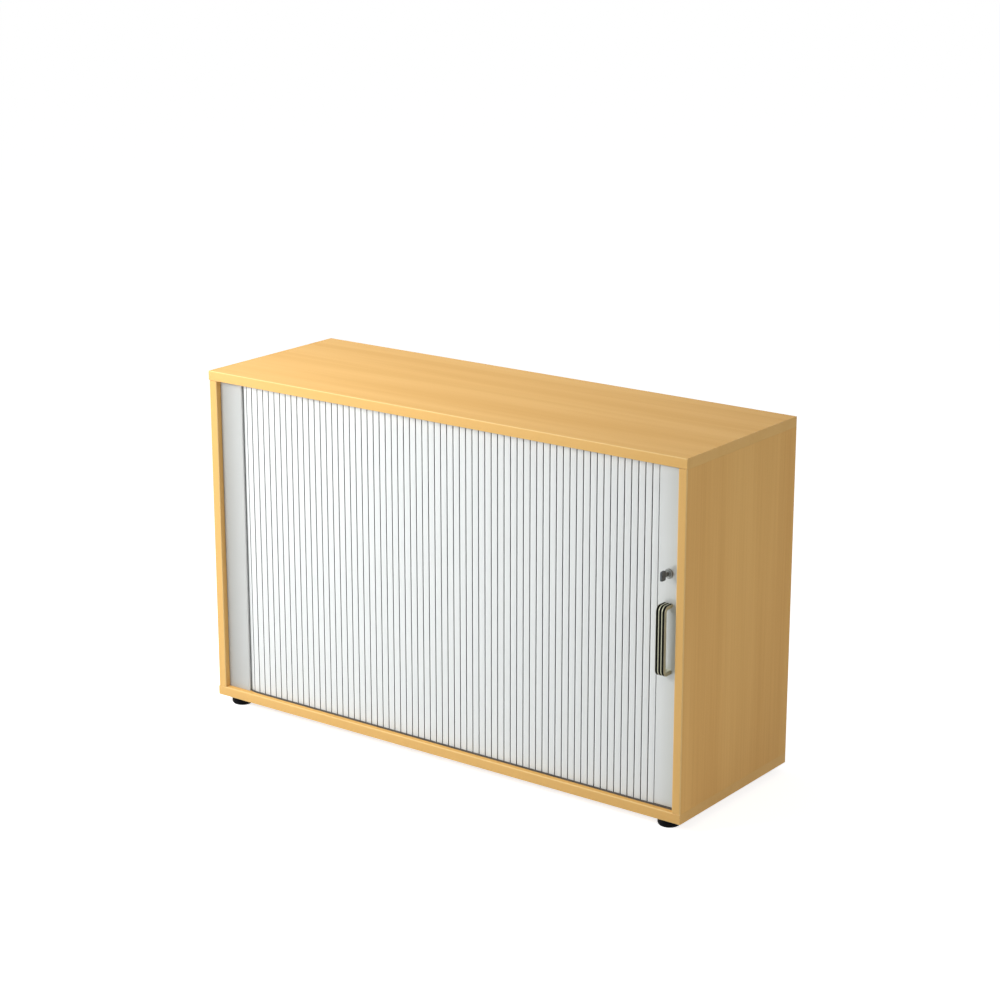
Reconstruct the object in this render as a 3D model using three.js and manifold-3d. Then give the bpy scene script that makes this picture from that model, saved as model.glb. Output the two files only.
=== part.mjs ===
// A tambour door cabinet: a wood-faced carcass with a curtain of upright slats that slides sideways.
// Units are millimetres, +Z is up and the front faces -Y. The origin is on the floor, under the
// middle of the whole object, with its key and handle counted.
import * as THREE from 'three';
import { mergeVertices } from 'three/addons/utils/BufferGeometryUtils.js';
import Module from 'manifold-3d';

const wasm = await Module();
wasm.setup();

// Carcass
const carcassWidth = 1200;
const carcassDepth = 400;
const carcassHeight = 730;
const topThickness = 21;
const bottomThickness = 21;
const sideThickness = 19;
const leftSideInset = 1.5;
const backThickness = 8;
const backInset = 2;
const innerBackThickness = 8;
const partitionThickness = 10;
const bendClearance = 1.5;

// Clearances and cutting
const fitGap = 0.3;
const cutOverrun = 5;
const mergeTolerance = 1e-4;

// Smoothness of round shapes, in straight steps
const bendSteps = 12;
const cornerSteps = 5;
const crownSteps = 4;
const roundSides = 24;
const smallRoundSides = 12;

// Curtain
const curtainSetback = 15;
const slatPitch = 15.75;
const slatThickness = 6.5;
const slatGroove = 2;
const slatWeb = 1.5;
const slatEdge = 0.6;
const slatCrown = 0.35;
const slatTopGap = 1.5;
const sectionCount = 21;
const bendOuterRadius = 69;
const bayGap = 15.5;
const backRunGap = 6;
const tailBayRun = 60;

// Guide rails
const railWall = 1.7;
const railFloor = 2;
const railSlack = 0.7;
const railDepth = 8;
const railLip = 5;
const backRailLength = 640;

// Cover strip beside the curtain
const stripWidth = 59;
const stripThickness = 1.2;
const stripFlange = 14;

// Shelf and its pins
const shelfThickness = 22;
const shelfFrontGap = 16.5;
const shelfBackGap = 3;
const shelfEndGap = 1.5;
const pinRadius = 2.5;
const pinDepth = 7;
const pinReach = 8;
const pinHeadRadius = 3.6;
const pinInset = 50;
const pinHoleStep = 32;
const pinHolesEachWay = 2;

// Lead profile, the stiff post that ends the curtain
const leadWidth = 49.5;
const leadDepth = 16;
const leadWall = 2.5;
const leadLip = 10;
const leadEdge = 1;
const leadProud = 1;
const leadSideGap = 1;
const leadEndGap = 0.7;
const shoeInsert = 20;

// Bow handle with dark inlays
const handleSpacing = 133;
const handleThickness = 7.6;
const handleProjection = 27.5;
const handleWidth = 20;
const handleBend = 12;
const handleHeight = 386;
const handleShift = 0.5;
const inlayCount = 3;
const inlayWidth = 4.6;
const inlayDepth = 0.8;
const inlayEdge = 0.7;
const screwRadius = 2;
const screwHeadRadius = 4;
const screwHeadHeight = 2.5;
const screwBite = 12;

// Lock
const lockAboveHandle = 58.5;
const lockRimRadius = 9.5;
const lockRimProud = 3.5;
const lockBarrelRadius = 8.5;
const lockCaseLeft = 12;
const lockCaseSideGap = 1.25;
const lockCaseBackGap = 0.4;
const lockCaseWall = 1.8;
const lockCaseHalfHeight = 14;
const plugRadius = 6;
const plugProud = 0.3;
const crankRadius = 1.3;
const crankEdge = 0.3;
const boltThickness = 3.5;
const boltHalfHeight = 8;
const boltLeft = 6.5;
const boltTipSetback = 0.8;
const boltWay = 0.4;
const boltLeftRoom = 2;
const keywayDepth = 7;

// Key with a folding bow
const bladeThickness = 1.6;
const bladeHeight = 8;
const keyPinRadius = 1;
const bowThickness = 4.4;
const bowHeight = 19.4;
const bowLength = 14.5;
const bowPinInset = 4;
const bowCorner = 3.5;
const bowSlotRoom = 0.6;
const bowFoldGap = 4;
const ringHoleRadius = 1.5;
const ringHoleInset = 2.9;

// Keeper plate let into the right side
const keeperThickness = 1.5;
const keeperHalfHeight = 22;
const keeperHalfWidth = 9;
const keeperSlotSlack = 1.2;
const keeperPocketDepth = 9;

// Levelling feet
const footInsetX = 42.5;
const footInsetY = 30;
const footHeight = 18;
const footRadius = 23;
const footSoleRadius = 18;
const footRise = 6;
const footTopEdge = 1.5;
const studRadius = 4;
const socketRadius = 6;
const socketCover = 1;
const socketFlangeRadius = 12;
const socketFlange = 1.6;
const socketCap = 1;

// Faces and lines that the pieces share
const quarterTurn = Math.PI / 2;
const leftX = -carcassWidth / 2;
const rightX = carcassWidth / 2;
const frontY = -carcassDepth / 2;
const rearY = carcassDepth / 2;
const undersideZ = footHeight;
const bottomFaceZ = undersideZ + bottomThickness;
const topZ = undersideZ + carcassHeight;
const topFaceZ = topZ - topThickness;
const innerLeftX = leftX + leftSideInset + sideThickness;
const innerRightX = rightX - sideThickness;
const backFaceY = rearY - backInset - backThickness;

const bendRadius = bendOuterRadius - slatThickness / 2;
const slatFrontY = frontY + curtainSetback;
const frontRunY = slatFrontY + slatThickness / 2;
const frontBendY = frontRunY + bendRadius;
const bendX = innerLeftX + bayGap + bendOuterRadius;
const backRunY = backFaceY - backRunGap - slatThickness / 2;
const rearBendY = backRunY - bendRadius;
const slatLowZ = bottomFaceZ - railDepth + railFloor + fitGap;
const slatHighZ = topFaceZ + railDepth - railFloor - slatTopGap;

const leadFrontY = slatFrontY - leadProud;
const leadLeftX = innerRightX - leadSideGap - leadWidth;
const leadMiddleX = leadLeftX + leadWidth / 2;
const leadLowZ = bottomFaceZ + railLip + leadEndGap;
const leadHighZ = topFaceZ - railLip - leadEndGap;
const leadHalf = leadWidth / 2;

// The curtain's front run holds equal sections, and what is left over starts the tail
const frontRunLength = leadLeftX - bendX;
const slatsPerSection = Math.floor(frontRunLength / (slatPitch * sectionCount));
const sectionLength = slatsPerSection * slatPitch;
const tailStartX = leadLeftX - sectionCount * sectionLength;

const railInner = -slatThickness / 2 - railSlack - railWall;
const railOuter = slatThickness / 2 + railSlack + railWall;
const railRightX = innerRightX - fitGap;
const railBackX = bendX + backRailLength;

const handleHalf = (handleSpacing + handleThickness) / 2;
const lockHeight = handleHeight + handleHalf + lockAboveHandle;
const plugFrontY = -lockRimProud - plugProud;
const keyPinY = plugFrontY - bowFoldGap - bowHeight / 2;
const keyTipY = keyPinY + bowPinInset - bowLength;
const frontReach = frontY - leadFrontY + Math.max(handleProjection, -keyTipY);

// The lock's case lies inside the lead, and the bolt runs in the case's back wall
const lockCaseBack = leadDepth - leadWall - lockCaseBackGap;
const lockCaseRight = leadHalf - leadWall - lockCaseSideGap - handleShift;
const boltRearY = lockCaseBack - lockCaseWall - boltWay;
const boltFrontY = boltRearY - boltThickness;

const finish = (color, roughness, metalness = 0) =>
  new THREE.MeshStandardMaterial({ color, roughness, metalness });
const beech = finish('#e2b579', 0.45);
const slatPlastic = finish('#e4e6e6', 0.4);
const greyPlastic = finish('#cdd1d1', 0.4);
const leadMetal = finish('#d2d5d6', 0.35, 0.3);
const blackPlastic = finish('#17181a', 0.5);
const blackInlay = finish('#101010', 0.45);
const champagneMetal = finish('#b8b09a', 0.3, 0.9);
const nickel = finish('#9c9c9a', 0.28, 0.9);
const keyPlastic = finish('#6d7274', 0.5);
const zincSteel = finish('#b6babd', 0.35, 0.85);

// A closed three.js mesh becomes a solid once its shared corners are joined
function solid(geometry) {
  const bare = geometry.clone();
  bare.deleteAttribute('normal');
  bare.deleteAttribute('uv');
  const joined = mergeVertices(bare, mergeTolerance);
  return new wasm.Manifold(new wasm.Mesh({
    numProp: 3,
    vertProperties: joined.attributes.position.array,
    triVerts: Uint32Array.from(joined.index.array),
  }));
}

function geometryOf(body) {
  const mesh = body.getMesh();
  const geometry = new THREE.BufferGeometry();
  geometry.setAttribute('position', new THREE.BufferAttribute(mesh.vertProperties, 3));
  geometry.setIndex(new THREE.BufferAttribute(mesh.triVerts, 1));
  geometry.computeVertexNormals();
  return geometry;
}

function piece(name, shape, material) {
  const geometry = shape.isBufferGeometry ? shape : geometryOf(shape);
  const mesh = new THREE.Mesh(geometry, material);
  mesh.name = name;
  return mesh;
}

const plan = (x, y) => new THREE.Vector2(x, y);

function block(x0, x1, y0, y1, z0, z1) {
  const box = new THREE.BoxGeometry(x1 - x0, y1 - y0, z1 - z0);
  return box.translate((x0 + x1) / 2, (y0 + y1) / 2, (z0 + z1) / 2);
}

// An outline in plan, drawn upwards from z0 to z1
function upright(outline, z0, z1) {
  const shape = new THREE.Shape(outline);
  return new THREE.ExtrudeGeometry(shape, { depth: z1 - z0, bevelEnabled: false }).translate(0, 0, z0);
}

// An outline in Y and Z, drawn sideways from x0 to x1
function sideways(outline, x0, x1) {
  const shape = new THREE.Shape(outline);
  const turn = new THREE.Matrix4().makeBasis(
    new THREE.Vector3(0, 1, 0),
    new THREE.Vector3(0, 0, 1),
    new THREE.Vector3(1, 0, 0),
  );
  const drawn = new THREE.ExtrudeGeometry(shape, { depth: x1 - x0, bevelEnabled: false });
  return drawn.applyMatrix4(turn).translate(x0, 0, 0);
}

function rodX(radius, x0, x1, y, z, sides = smallRoundSides) {
  const rod = new THREE.CylinderGeometry(radius, radius, x1 - x0, sides);
  return rod.rotateZ(quarterTurn).translate((x0 + x1) / 2, y, z);
}

function rodY(radius, y0, y1, x, z, sides = smallRoundSides) {
  const rod = new THREE.CylinderGeometry(radius, radius, y1 - y0, sides);
  return rod.translate(x, (y0 + y1) / 2, z);
}

function rodZ(radius, z0, z1, x, y, sides = smallRoundSides) {
  const rod = new THREE.CylinderGeometry(radius, radius, z1 - z0, sides);
  return rod.rotateX(quarterTurn).translate(x, y, (z0 + z1) / 2);
}

// The curtain's route in plan: leftwards along the front from startX, round the front bend,
// back through the bay, round the rear bend and rightwards along the back to endX.
// A positive offset shifts it towards the outside of the bends.
function route(offset, startX, endX) {
  const radius = bendRadius + offset;
  const front = [];
  const rear = [];
  for (let step = 0; step <= bendSteps; step++) {
    const angle = (quarterTurn * step) / bendSteps;
    front.push(plan(bendX - radius * Math.sin(angle), frontBendY - radius * Math.cos(angle)));
    rear.push(plan(bendX - radius * Math.cos(angle), rearBendY + radius * Math.sin(angle)));
  }
  return [plan(startX, frontBendY - radius), ...front, ...rear, plan(endX, rearBendY + radius)];
}

function ribbon(inner, outer, startX, endX) {
  return [...route(outer, startX, endX), ...route(inner, startX, endX).reverse()];
}

// The point that lies a given distance along the curtain's middle line, counted from the tail's start
function pointOnRoute(distance) {
  const straight = tailStartX - bendX;
  const bend = quarterTurn * bendRadius;
  if (distance <= straight) {
    return plan(tailStartX - distance, frontRunY);
  }
  if (distance <= straight + bend) {
    const angle = (distance - straight) / bendRadius;
    return plan(bendX - bendRadius * Math.sin(angle), frontBendY - bendRadius * Math.cos(angle));
  }
  return plan(bendX - bendRadius, frontBendY + distance - straight - bend);
}

// The outline of a row of slats whose hinge lines stand at the given points on the middle line.
// Each slat has a crowned face on the outside, and a thin web on the inside joins it to the next.
function slatRow(hinges) {
  const outside = [];
  const inside = [];
  const last = hinges.length - 1;
  const headings = hinges.slice(1).map((hinge, i) => hinge.clone().sub(hinges[i]).normalize());
  for (let i = 0; i < last; i++) {
    const along = headings[i];
    const out = plan(-along.y, along.x);
    const reach = hinges[i].distanceTo(hinges[i + 1]);
    const place = (u, v) => hinges[i].clone().addScaledVector(along, u).addScaledVector(out, v);
    const webV = slatWeb - slatThickness / 2;
    const shoulderV = slatThickness / 2 - slatCrown - slatEdge;
    const faceStart = slatGroove / 2 + slatEdge;
    const faceEnd = reach - slatGroove / 2 - slatEdge;
    if (i === 0) {
      outside.push(place(fitGap / 2, webV));
      inside.push(place(fitGap / 2, -slatThickness / 2));
    }
    outside.push(place(slatGroove / 2, webV), place(slatGroove / 2, shoulderV));
    for (let step = 0; step <= crownSteps; step++) {
      const share = step / crownSteps;
      const rise = slatCrown * (1 - (2 * share - 1) ** 2);
      outside.push(place(faceStart + share * (faceEnd - faceStart), slatThickness / 2 - slatCrown + rise));
    }
    outside.push(place(reach - slatGroove / 2, shoulderV), place(reach - slatGroove / 2, webV));
    if (i === last - 1) {
      outside.push(place(reach - fitGap / 2, webV));
      inside.push(place(reach - fitGap / 2, -slatThickness / 2));
    } else {
      const next = headings[i + 1];
      const mitre = plan(-along.y - next.y, along.x + next.x).normalize();
      const depth = slatThickness / 2 / mitre.dot(out);
      inside.push(hinges[i + 1].clone().addScaledVector(mitre, -depth));
    }
  }
  return [...outside, ...inside.reverse()];
}

const cabinet = new THREE.Group();
cabinet.position.y = frontReach / 2;

// Guide rails: channels that follow the curtain's route, let into the top and the bottom panel.
// "into" is the way into the panel, -1 down into the bottom and 1 up into the top.
function railGroove(faceZ, into) {
  const ends = [faceZ + into * railDepth, faceZ - into * cutOverrun].sort((a, b) => a - b);
  const outline = ribbon(railInner - fitGap, railOuter + fitGap, innerRightX, railBackX + fitGap);
  return solid(upright(outline, ...ends));
}

function guideRail(faceZ, into) {
  const baseZ = faceZ + into * railDepth;
  const floorZ = baseZ - into * railFloor;
  const lipZ = faceZ - into * railLip;
  const floor = [baseZ, floorZ].sort((a, b) => a - b);
  const wall = [baseZ, lipZ].sort((a, b) => a - b);
  return solid(upright(ribbon(railInner, railOuter, railRightX, railBackX), ...floor))
    .add(solid(upright(ribbon(railInner, railInner + railWall, railRightX, railBackX), ...wall)))
    .add(solid(upright(ribbon(railOuter - railWall, railOuter, railRightX, railBackX), ...wall)));
}

cabinet.add(piece('bottom_guide_rail', guideRail(bottomFaceZ, -1), blackPlastic));
cabinet.add(piece('top_guide_rail', guideRail(topFaceZ, 1), blackPlastic));

// Levelling feet: a pad on a stud, and the socket in the bottom panel that the stud runs in
const footPlaces = {
  front_left: [leftX + footInsetX, frontY + footInsetY],
  front_right: [rightX - footInsetX, frontY + footInsetY],
  rear_left: [leftX + footInsetX, rearY - footInsetY],
  rear_right: [rightX - footInsetX, rearY - footInsetY],
};
const padTopZ = undersideZ - socketFlange - fitGap;
const socketHighZ = bottomFaceZ - railDepth - socketCover;
const socketCapZ = socketHighZ - socketCap;

function footPad() {
  const profile = [plan(0, 0), plan(footSoleRadius, 0)];
  for (let step = 1; step <= cornerSteps; step++) {
    const angle = (quarterTurn * step) / cornerSteps;
    const out = (footRadius - footSoleRadius) * Math.sin(angle);
    profile.push(plan(footSoleRadius + out, footRise * (1 - Math.cos(angle))));
  }
  profile.push(plan(footRadius, padTopZ - footTopEdge), plan(footRadius - footTopEdge, padTopZ));
  profile.push(plan(studRadius, padTopZ), plan(studRadius, socketCapZ - fitGap));
  profile.push(plan(0, socketCapZ - fitGap));
  return new THREE.LatheGeometry(profile, roundSides).rotateX(quarterTurn);
}

function footSocket() {
  const bore = studRadius + fitGap;
  const profile = [
    plan(bore, undersideZ - socketFlange),
    plan(socketFlangeRadius, undersideZ - socketFlange),
    plan(socketFlangeRadius, undersideZ),
    plan(socketRadius, undersideZ),
    plan(socketRadius, socketHighZ),
    plan(0, socketHighZ),
    plan(0, socketCapZ),
    plan(bore, socketCapZ),
    plan(bore, undersideZ - socketFlange),
  ];
  return new THREE.LatheGeometry(profile, roundSides).rotateX(quarterTurn);
}

for (const [place, [x, y]] of Object.entries(footPlaces)) {
  const foot = new THREE.Group();
  foot.position.set(x, y, 0);
  foot.add(piece(`foot_${place}`, footPad(), blackPlastic));
  foot.add(piece(`foot_socket_${place}`, footSocket(), zincSteel));
  cabinet.add(foot);
}

// Bottom and top panels run the full width and depth, and the sides stand between them: the right
// one flush with their ends, and the left one a little inside them
let bottom = solid(block(leftX, rightX, frontY, rearY, undersideZ, bottomFaceZ));
bottom = bottom.subtract(railGroove(bottomFaceZ, -1));
for (const [x, y] of Object.values(footPlaces)) {
  const hole = rodZ(socketRadius + fitGap, undersideZ - cutOverrun, socketHighZ + fitGap, x, y, roundSides);
  bottom = bottom.subtract(solid(hole));
}
cabinet.add(piece('bottom_panel', bottom, beech));

const top = solid(block(leftX, rightX, frontY, rearY, topFaceZ, topZ)).subtract(railGroove(topFaceZ, 1));
cabinet.add(piece('top_panel', top, beech));

const leftSide = block(leftX + leftSideInset, innerLeftX, frontY, rearY, bottomFaceZ, topFaceZ);
cabinet.add(piece('left_side_panel', leftSide, beech));

const back = block(innerLeftX, innerRightX, backFaceY, backFaceY + backThickness, bottomFaceZ, topFaceZ);
cabinet.add(piece('back_panel', back, beech));

// The partition closes the bay where the curtain turns, level with the cover strip's free edge.
// Its ends stop short of the rail's bends, and the inner back meets it there.
const partitionRightX = innerLeftX + stripWidth;
const partitionLeftX = partitionRightX - partitionThickness;
const railBendRadius = bendRadius + railInner - bendClearance;
const partitionReach = Math.sqrt(railBendRadius ** 2 - (bendX - partitionLeftX) ** 2);
const partitionFrontY = frontBendY - partitionReach;
const partitionRearY = rearBendY + partitionReach;
const innerBackY = partitionRearY - innerBackThickness;
const innerBack = block(partitionRightX, innerRightX, innerBackY, partitionRearY, bottomFaceZ, topFaceZ);
cabinet.add(piece('inner_back_panel', innerBack, beech));

// Shelf on four pins, with spare pin holes above and below
const shelfFrontY = leadFrontY + leadDepth + shelfFrontGap;
const shelfRearY = innerBackY - shelfBackGap;
const shelfLowZ = (bottomFaceZ + topFaceZ - shelfThickness) / 2;
const shelfLeftX = partitionRightX + shelfEndGap;
const shelfRightX = innerRightX - shelfEndGap;
const shelf = block(shelfLeftX, shelfRightX, shelfFrontY, shelfRearY, shelfLowZ, shelfLowZ + shelfThickness);
cabinet.add(piece('shelf', shelf, beech));

const pinZ = shelfLowZ - fitGap - pinHeadRadius;
const pinRows = { front: shelfFrontY + pinInset, rear: shelfRearY - pinInset };

function shelfPin(wallX, inward) {
  const peg = [wallX - inward * pinDepth, wallX].sort((a, b) => a - b);
  const head = [wallX, wallX + inward * pinReach].sort((a, b) => a - b);
  return solid(rodX(pinRadius, ...peg, 0, 0)).add(solid(rodX(pinHeadRadius, ...head, 0, 0)));
}

function pinHoles(wallX, inward) {
  const ends = [wallX - inward * (pinDepth + fitGap), wallX + inward * cutOverrun].sort((a, b) => a - b);
  const holes = [];
  for (const y of Object.values(pinRows)) {
    for (let step = -pinHolesEachWay; step <= pinHolesEachWay; step++) {
      holes.push(solid(rodX(pinRadius + fitGap, ...ends, y, pinZ + step * pinHoleStep)));
    }
  }
  return holes.reduce((all, hole) => all.add(hole));
}

for (const [row, y] of Object.entries(pinRows)) {
  const left = piece(`shelf_pin_left_${row}`, shelfPin(partitionRightX, 1), zincSteel);
  const right = piece(`shelf_pin_right_${row}`, shelfPin(innerRightX, -1), zincSteel);
  for (const pin of [left, right]) {
    pin.position.set(0, y, pinZ);
    cabinet.add(pin);
  }
}

const partition = solid(
  block(partitionLeftX, partitionRightX, partitionFrontY, partitionRearY, bottomFaceZ, topFaceZ),
).subtract(pinHoles(partitionRightX, 1));
cabinet.add(piece('bay_partition', partition, beech));

// Cover strip: a thin flat face just in front of the curtain, which bends away behind it, and a
// flange that lies on the left side
const stripFrontY = slatFrontY - fitGap - stripThickness;
const stripOutline = [
  plan(innerLeftX, stripFrontY),
  plan(innerLeftX + stripWidth, stripFrontY),
  plan(innerLeftX + stripWidth, stripFrontY + stripThickness),
  plan(innerLeftX + stripThickness, stripFrontY + stripThickness),
  plan(innerLeftX + stripThickness, stripFrontY + stripFlange),
  plan(innerLeftX, stripFrontY + stripFlange),
];
const strip = upright(stripOutline, bottomFaceZ + fitGap, topFaceZ - fitGap);
cabinet.add(piece('left_cover_strip', strip, greyPlastic));

// Curtain: sections on the straight front run, and a tail that is already round the bend
const sectionHinges = [];
for (let slat = 0; slat <= slatsPerSection; slat++) {
  sectionHinges.push(plan(-slat * slatPitch, 0));
}
for (let index = 0; index < sectionCount; index++) {
  const number = String(index + 1).padStart(2, '0');
  const row = upright(slatRow(sectionHinges), slatLowZ, slatHighZ);
  const section = piece(`curtain_section_${number}`, row, slatPlastic);
  section.position.set(leadLeftX - index * sectionLength, frontRunY, 0);
  cabinet.add(section);
}

const tailLength = tailStartX - bendX + quarterTurn * bendRadius + tailBayRun;
const tailHinges = [];
for (let slat = 0; slat <= Math.ceil(tailLength / slatPitch); slat++) {
  tailHinges.push(pointOnRoute(slat * slatPitch));
}
cabinet.add(piece('curtain_tail', upright(slatRow(tailHinges), slatLowZ, slatHighZ), slatPlastic));

// Lead profile: an open channel on the curtain's free end, with a guide shoe in each end.
// Its group stands at the middle of its front face, at floor level.
const lead = new THREE.Group();
lead.position.set(leadMiddleX, leadFrontY, 0);
cabinet.add(lead);

const leadOutline = [
  plan(leadEdge - leadHalf, 0),
  plan(leadHalf - leadEdge, 0),
  plan(leadHalf, leadEdge),
  plan(leadHalf, leadDepth),
  plan(leadHalf - leadLip, leadDepth),
  plan(leadHalf - leadLip, leadDepth - leadWall),
  plan(leadHalf - leadWall, leadDepth - leadWall),
  plan(leadHalf - leadWall, leadWall),
  plan(leadWall - leadHalf, leadWall),
  plan(leadWall - leadHalf, leadDepth - leadWall),
  plan(leadLip - leadHalf, leadDepth - leadWall),
  plan(leadLip - leadHalf, leadDepth),
  plan(-leadHalf, leadDepth),
  plan(-leadHalf, leadEdge),
];
const screwPlaces = { lower: handleHeight - handleSpacing / 2, upper: handleHeight + handleSpacing / 2 };
let leadBody = solid(upright(leadOutline, leadLowZ, leadHighZ));
const barrelHoleRadius = lockBarrelRadius + fitGap;
const wallHole = [-cutOverrun, leadWall + fitGap, handleShift];
leadBody = leadBody.subtract(solid(rodY(barrelHoleRadius, ...wallHole, lockHeight, roundSides)));
leadBody = leadBody.subtract(solid(block(
  leadHalf - leadWall - fitGap,
  leadHalf + cutOverrun,
  boltFrontY - boltWay,
  boltRearY + boltWay,
  lockHeight - boltHalfHeight - boltWay,
  lockHeight + boltHalfHeight + boltWay,
)));
for (const z of Object.values(screwPlaces)) {
  leadBody = leadBody.subtract(solid(rodY(screwRadius + fitGap, ...wallHole, z)));
}
lead.add(piece('lead_profile', leadBody, leadMetal));

function guideShoe(endZ, tongueZ) {
  const inward = Math.sign(endZ - tongueZ);
  const insert = [endZ, endZ + inward * shoeInsert].sort((a, b) => a - b);
  const tongue = [tongueZ, endZ].sort((a, b) => a - b);
  const reach = leadHalf - leadWall - fitGap;
  const insertBack = leadDepth - leadWall - fitGap;
  return solid(block(-reach, reach, leadWall + fitGap, insertBack, ...insert))
    .add(solid(block(-reach, reach, leadProud, leadProud + slatThickness, ...tongue)));
}

lead.add(piece('guide_shoe_bottom', guideShoe(leadLowZ, slatLowZ), blackPlastic));
lead.add(piece('guide_shoe_top', guideShoe(leadHighZ, slatHighZ), blackPlastic));

// Bow handle: its group stands on the lead's face, halfway between its two screws
const handle = new THREE.Group();
handle.position.set(handleShift, 0, handleHeight);
lead.add(handle);
const inlayStep = (handleWidth - 2 * inlayEdge - inlayWidth) / (inlayCount - 1);

// The bow's line from its lower root to its upper one, as Y and Z, at a depth below its outside
function bowLine(depth) {
  const bend = handleBend - depth;
  const centreY = handleBend - handleProjection;
  const centreZ = handleHalf - handleBend;
  const points = [plan(0, depth - handleHalf)];
  for (let step = 0; step <= cornerSteps; step++) {
    const angle = (quarterTurn * step) / cornerSteps;
    points.push(plan(centreY - bend * Math.sin(angle), -centreZ - bend * Math.cos(angle)));
  }
  for (let step = 0; step <= cornerSteps; step++) {
    const angle = (quarterTurn * step) / cornerSteps;
    points.push(plan(centreY - bend * Math.cos(angle), centreZ + bend * Math.sin(angle)));
  }
  return [...points, plan(0, handleHalf - depth)];
}

function bowBand(outer, inner, x0, x1) {
  return sideways([...bowLine(outer), ...bowLine(inner).reverse()], x0, x1);
}

let bow = solid(bowBand(0, handleThickness, -handleWidth / 2, handleWidth / 2));
for (let index = 0; index < inlayCount; index++) {
  const x = (index - (inlayCount - 1) / 2) * inlayStep;
  const groove = inlayWidth / 2 + fitGap;
  bow = bow.subtract(solid(bowBand(-cutOverrun, inlayDepth + fitGap, x - groove, x + groove)));
  const band = bowBand(0, inlayDepth, x - inlayWidth / 2, x + inlayWidth / 2);
  handle.add(piece(`handle_inlay_${index + 1}`, band, blackInlay));
}
for (const z of Object.values(screwPlaces)) {
  const hole = rodY(screwRadius + fitGap, -screwBite - fitGap, cutOverrun, 0, z - handleHeight);
  bow = bow.subtract(solid(hole));
}
handle.add(piece('handle_bow', bow, champagneMetal));

for (const [end, z] of Object.entries(screwPlaces)) {
  const shank = solid(rodY(screwRadius, -screwBite, leadWall, 0, z - handleHeight));
  const headEnd = leadWall + screwHeadHeight;
  const screw = shank.add(solid(rodY(screwHeadRadius, leadWall, headEnd, 0, z - handleHeight)));
  handle.add(piece(`handle_screw_${end}`, screw, zincSteel));
}

// Lock: its group stands on the lead's face, on the cylinder's axis
const lock = new THREE.Group();
lock.position.set(handleShift, 0, lockHeight);
lead.add(lock);
const boltTipX = leadHalf - handleShift - boltTipSetback;
const caseFrontY = leadWall + fitGap;

let housing = solid(rodY(lockRimRadius, -lockRimProud, 0, 0, 0, roundSides));
housing = housing.add(solid(rodY(lockBarrelRadius, 0, lockCaseBack, 0, 0, roundSides)));
housing = housing.add(solid(block(
  -lockCaseLeft,
  lockCaseRight,
  caseFrontY,
  lockCaseBack,
  -lockCaseHalfHeight,
  lockCaseHalfHeight,
)));
const plugBore = [-lockRimProud - cutOverrun, boltFrontY];
housing = housing.subtract(solid(rodY(plugRadius + fitGap, ...plugBore, 0, 0, roundSides)));
housing = housing.subtract(solid(block(
  -boltLeft - boltLeftRoom,
  lockCaseRight + cutOverrun,
  boltFrontY - boltWay,
  boltRearY + boltWay,
  -boltHalfHeight - boltWay,
  boltHalfHeight + boltWay,
)));
lock.add(piece('lock_housing', housing, nickel));

const plugRearY = boltFrontY - boltWay - fitGap;
const crankThrow = plugRadius - crankRadius - crankEdge;
const crankX = -crankThrow * Math.SQRT1_2;
const crankZ = crankThrow * Math.SQRT1_2;
let plug = solid(rodY(plugRadius, plugFrontY, plugRearY, 0, 0, roundSides));
const crankReach = [plugFrontY + keywayDepth + fitGap, boltRearY - fitGap];
plug = plug.add(solid(rodY(crankRadius, ...crankReach, crankX, crankZ)));
plug = plug.subtract(solid(block(
  -bladeThickness / 2 - fitGap,
  bladeThickness / 2 + fitGap,
  plugFrontY - cutOverrun,
  plugFrontY + keywayDepth,
  -bladeHeight / 2 - fitGap,
  bladeHeight / 2 + fitGap,
)));
lock.add(piece('lock_plug', plug, nickel));

let bolt = solid(block(-boltLeft, boltTipX, boltFrontY, boltRearY, -boltHalfHeight, boltHalfHeight));
bolt = bolt.subtract(solid(block(
  crankX - crankRadius - boltWay,
  crankX + crankRadius + boltWay,
  boltFrontY - cutOverrun,
  boltRearY + cutOverrun,
  crankZ - crankRadius - boltWay,
  crankThrow + crankRadius + boltWay,
)));
lock.add(piece('lock_bolt', bolt, zincSteel));

// Key: a flat blade in the plug, and a bow that folds on the pin at the blade's outer end.
// The bow's slot and the keyway take the blade with a small gap on each side.
const bladeEar = bladeHeight / 2;
const keyPinHalfLength = bowThickness / 2 - 2 * fitGap;
const bladeRearY = plugFrontY + keywayDepth - fitGap;
const bladeOutline = [plan(bladeRearY, -bladeEar), plan(bladeRearY, bladeEar)];
for (let step = 0; step <= 2 * cornerSteps; step++) {
  const angle = (quarterTurn * step) / cornerSteps;
  bladeOutline.push(plan(keyPinY - bladeEar * Math.sin(angle), bladeEar * Math.cos(angle)));
}
const blade = solid(sideways(bladeOutline, -bladeThickness / 2, bladeThickness / 2))
  .add(solid(rodX(keyPinRadius, -keyPinHalfLength, keyPinHalfLength, keyPinY, 0)));
lock.add(piece('key_blade', blade, nickel));

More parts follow.
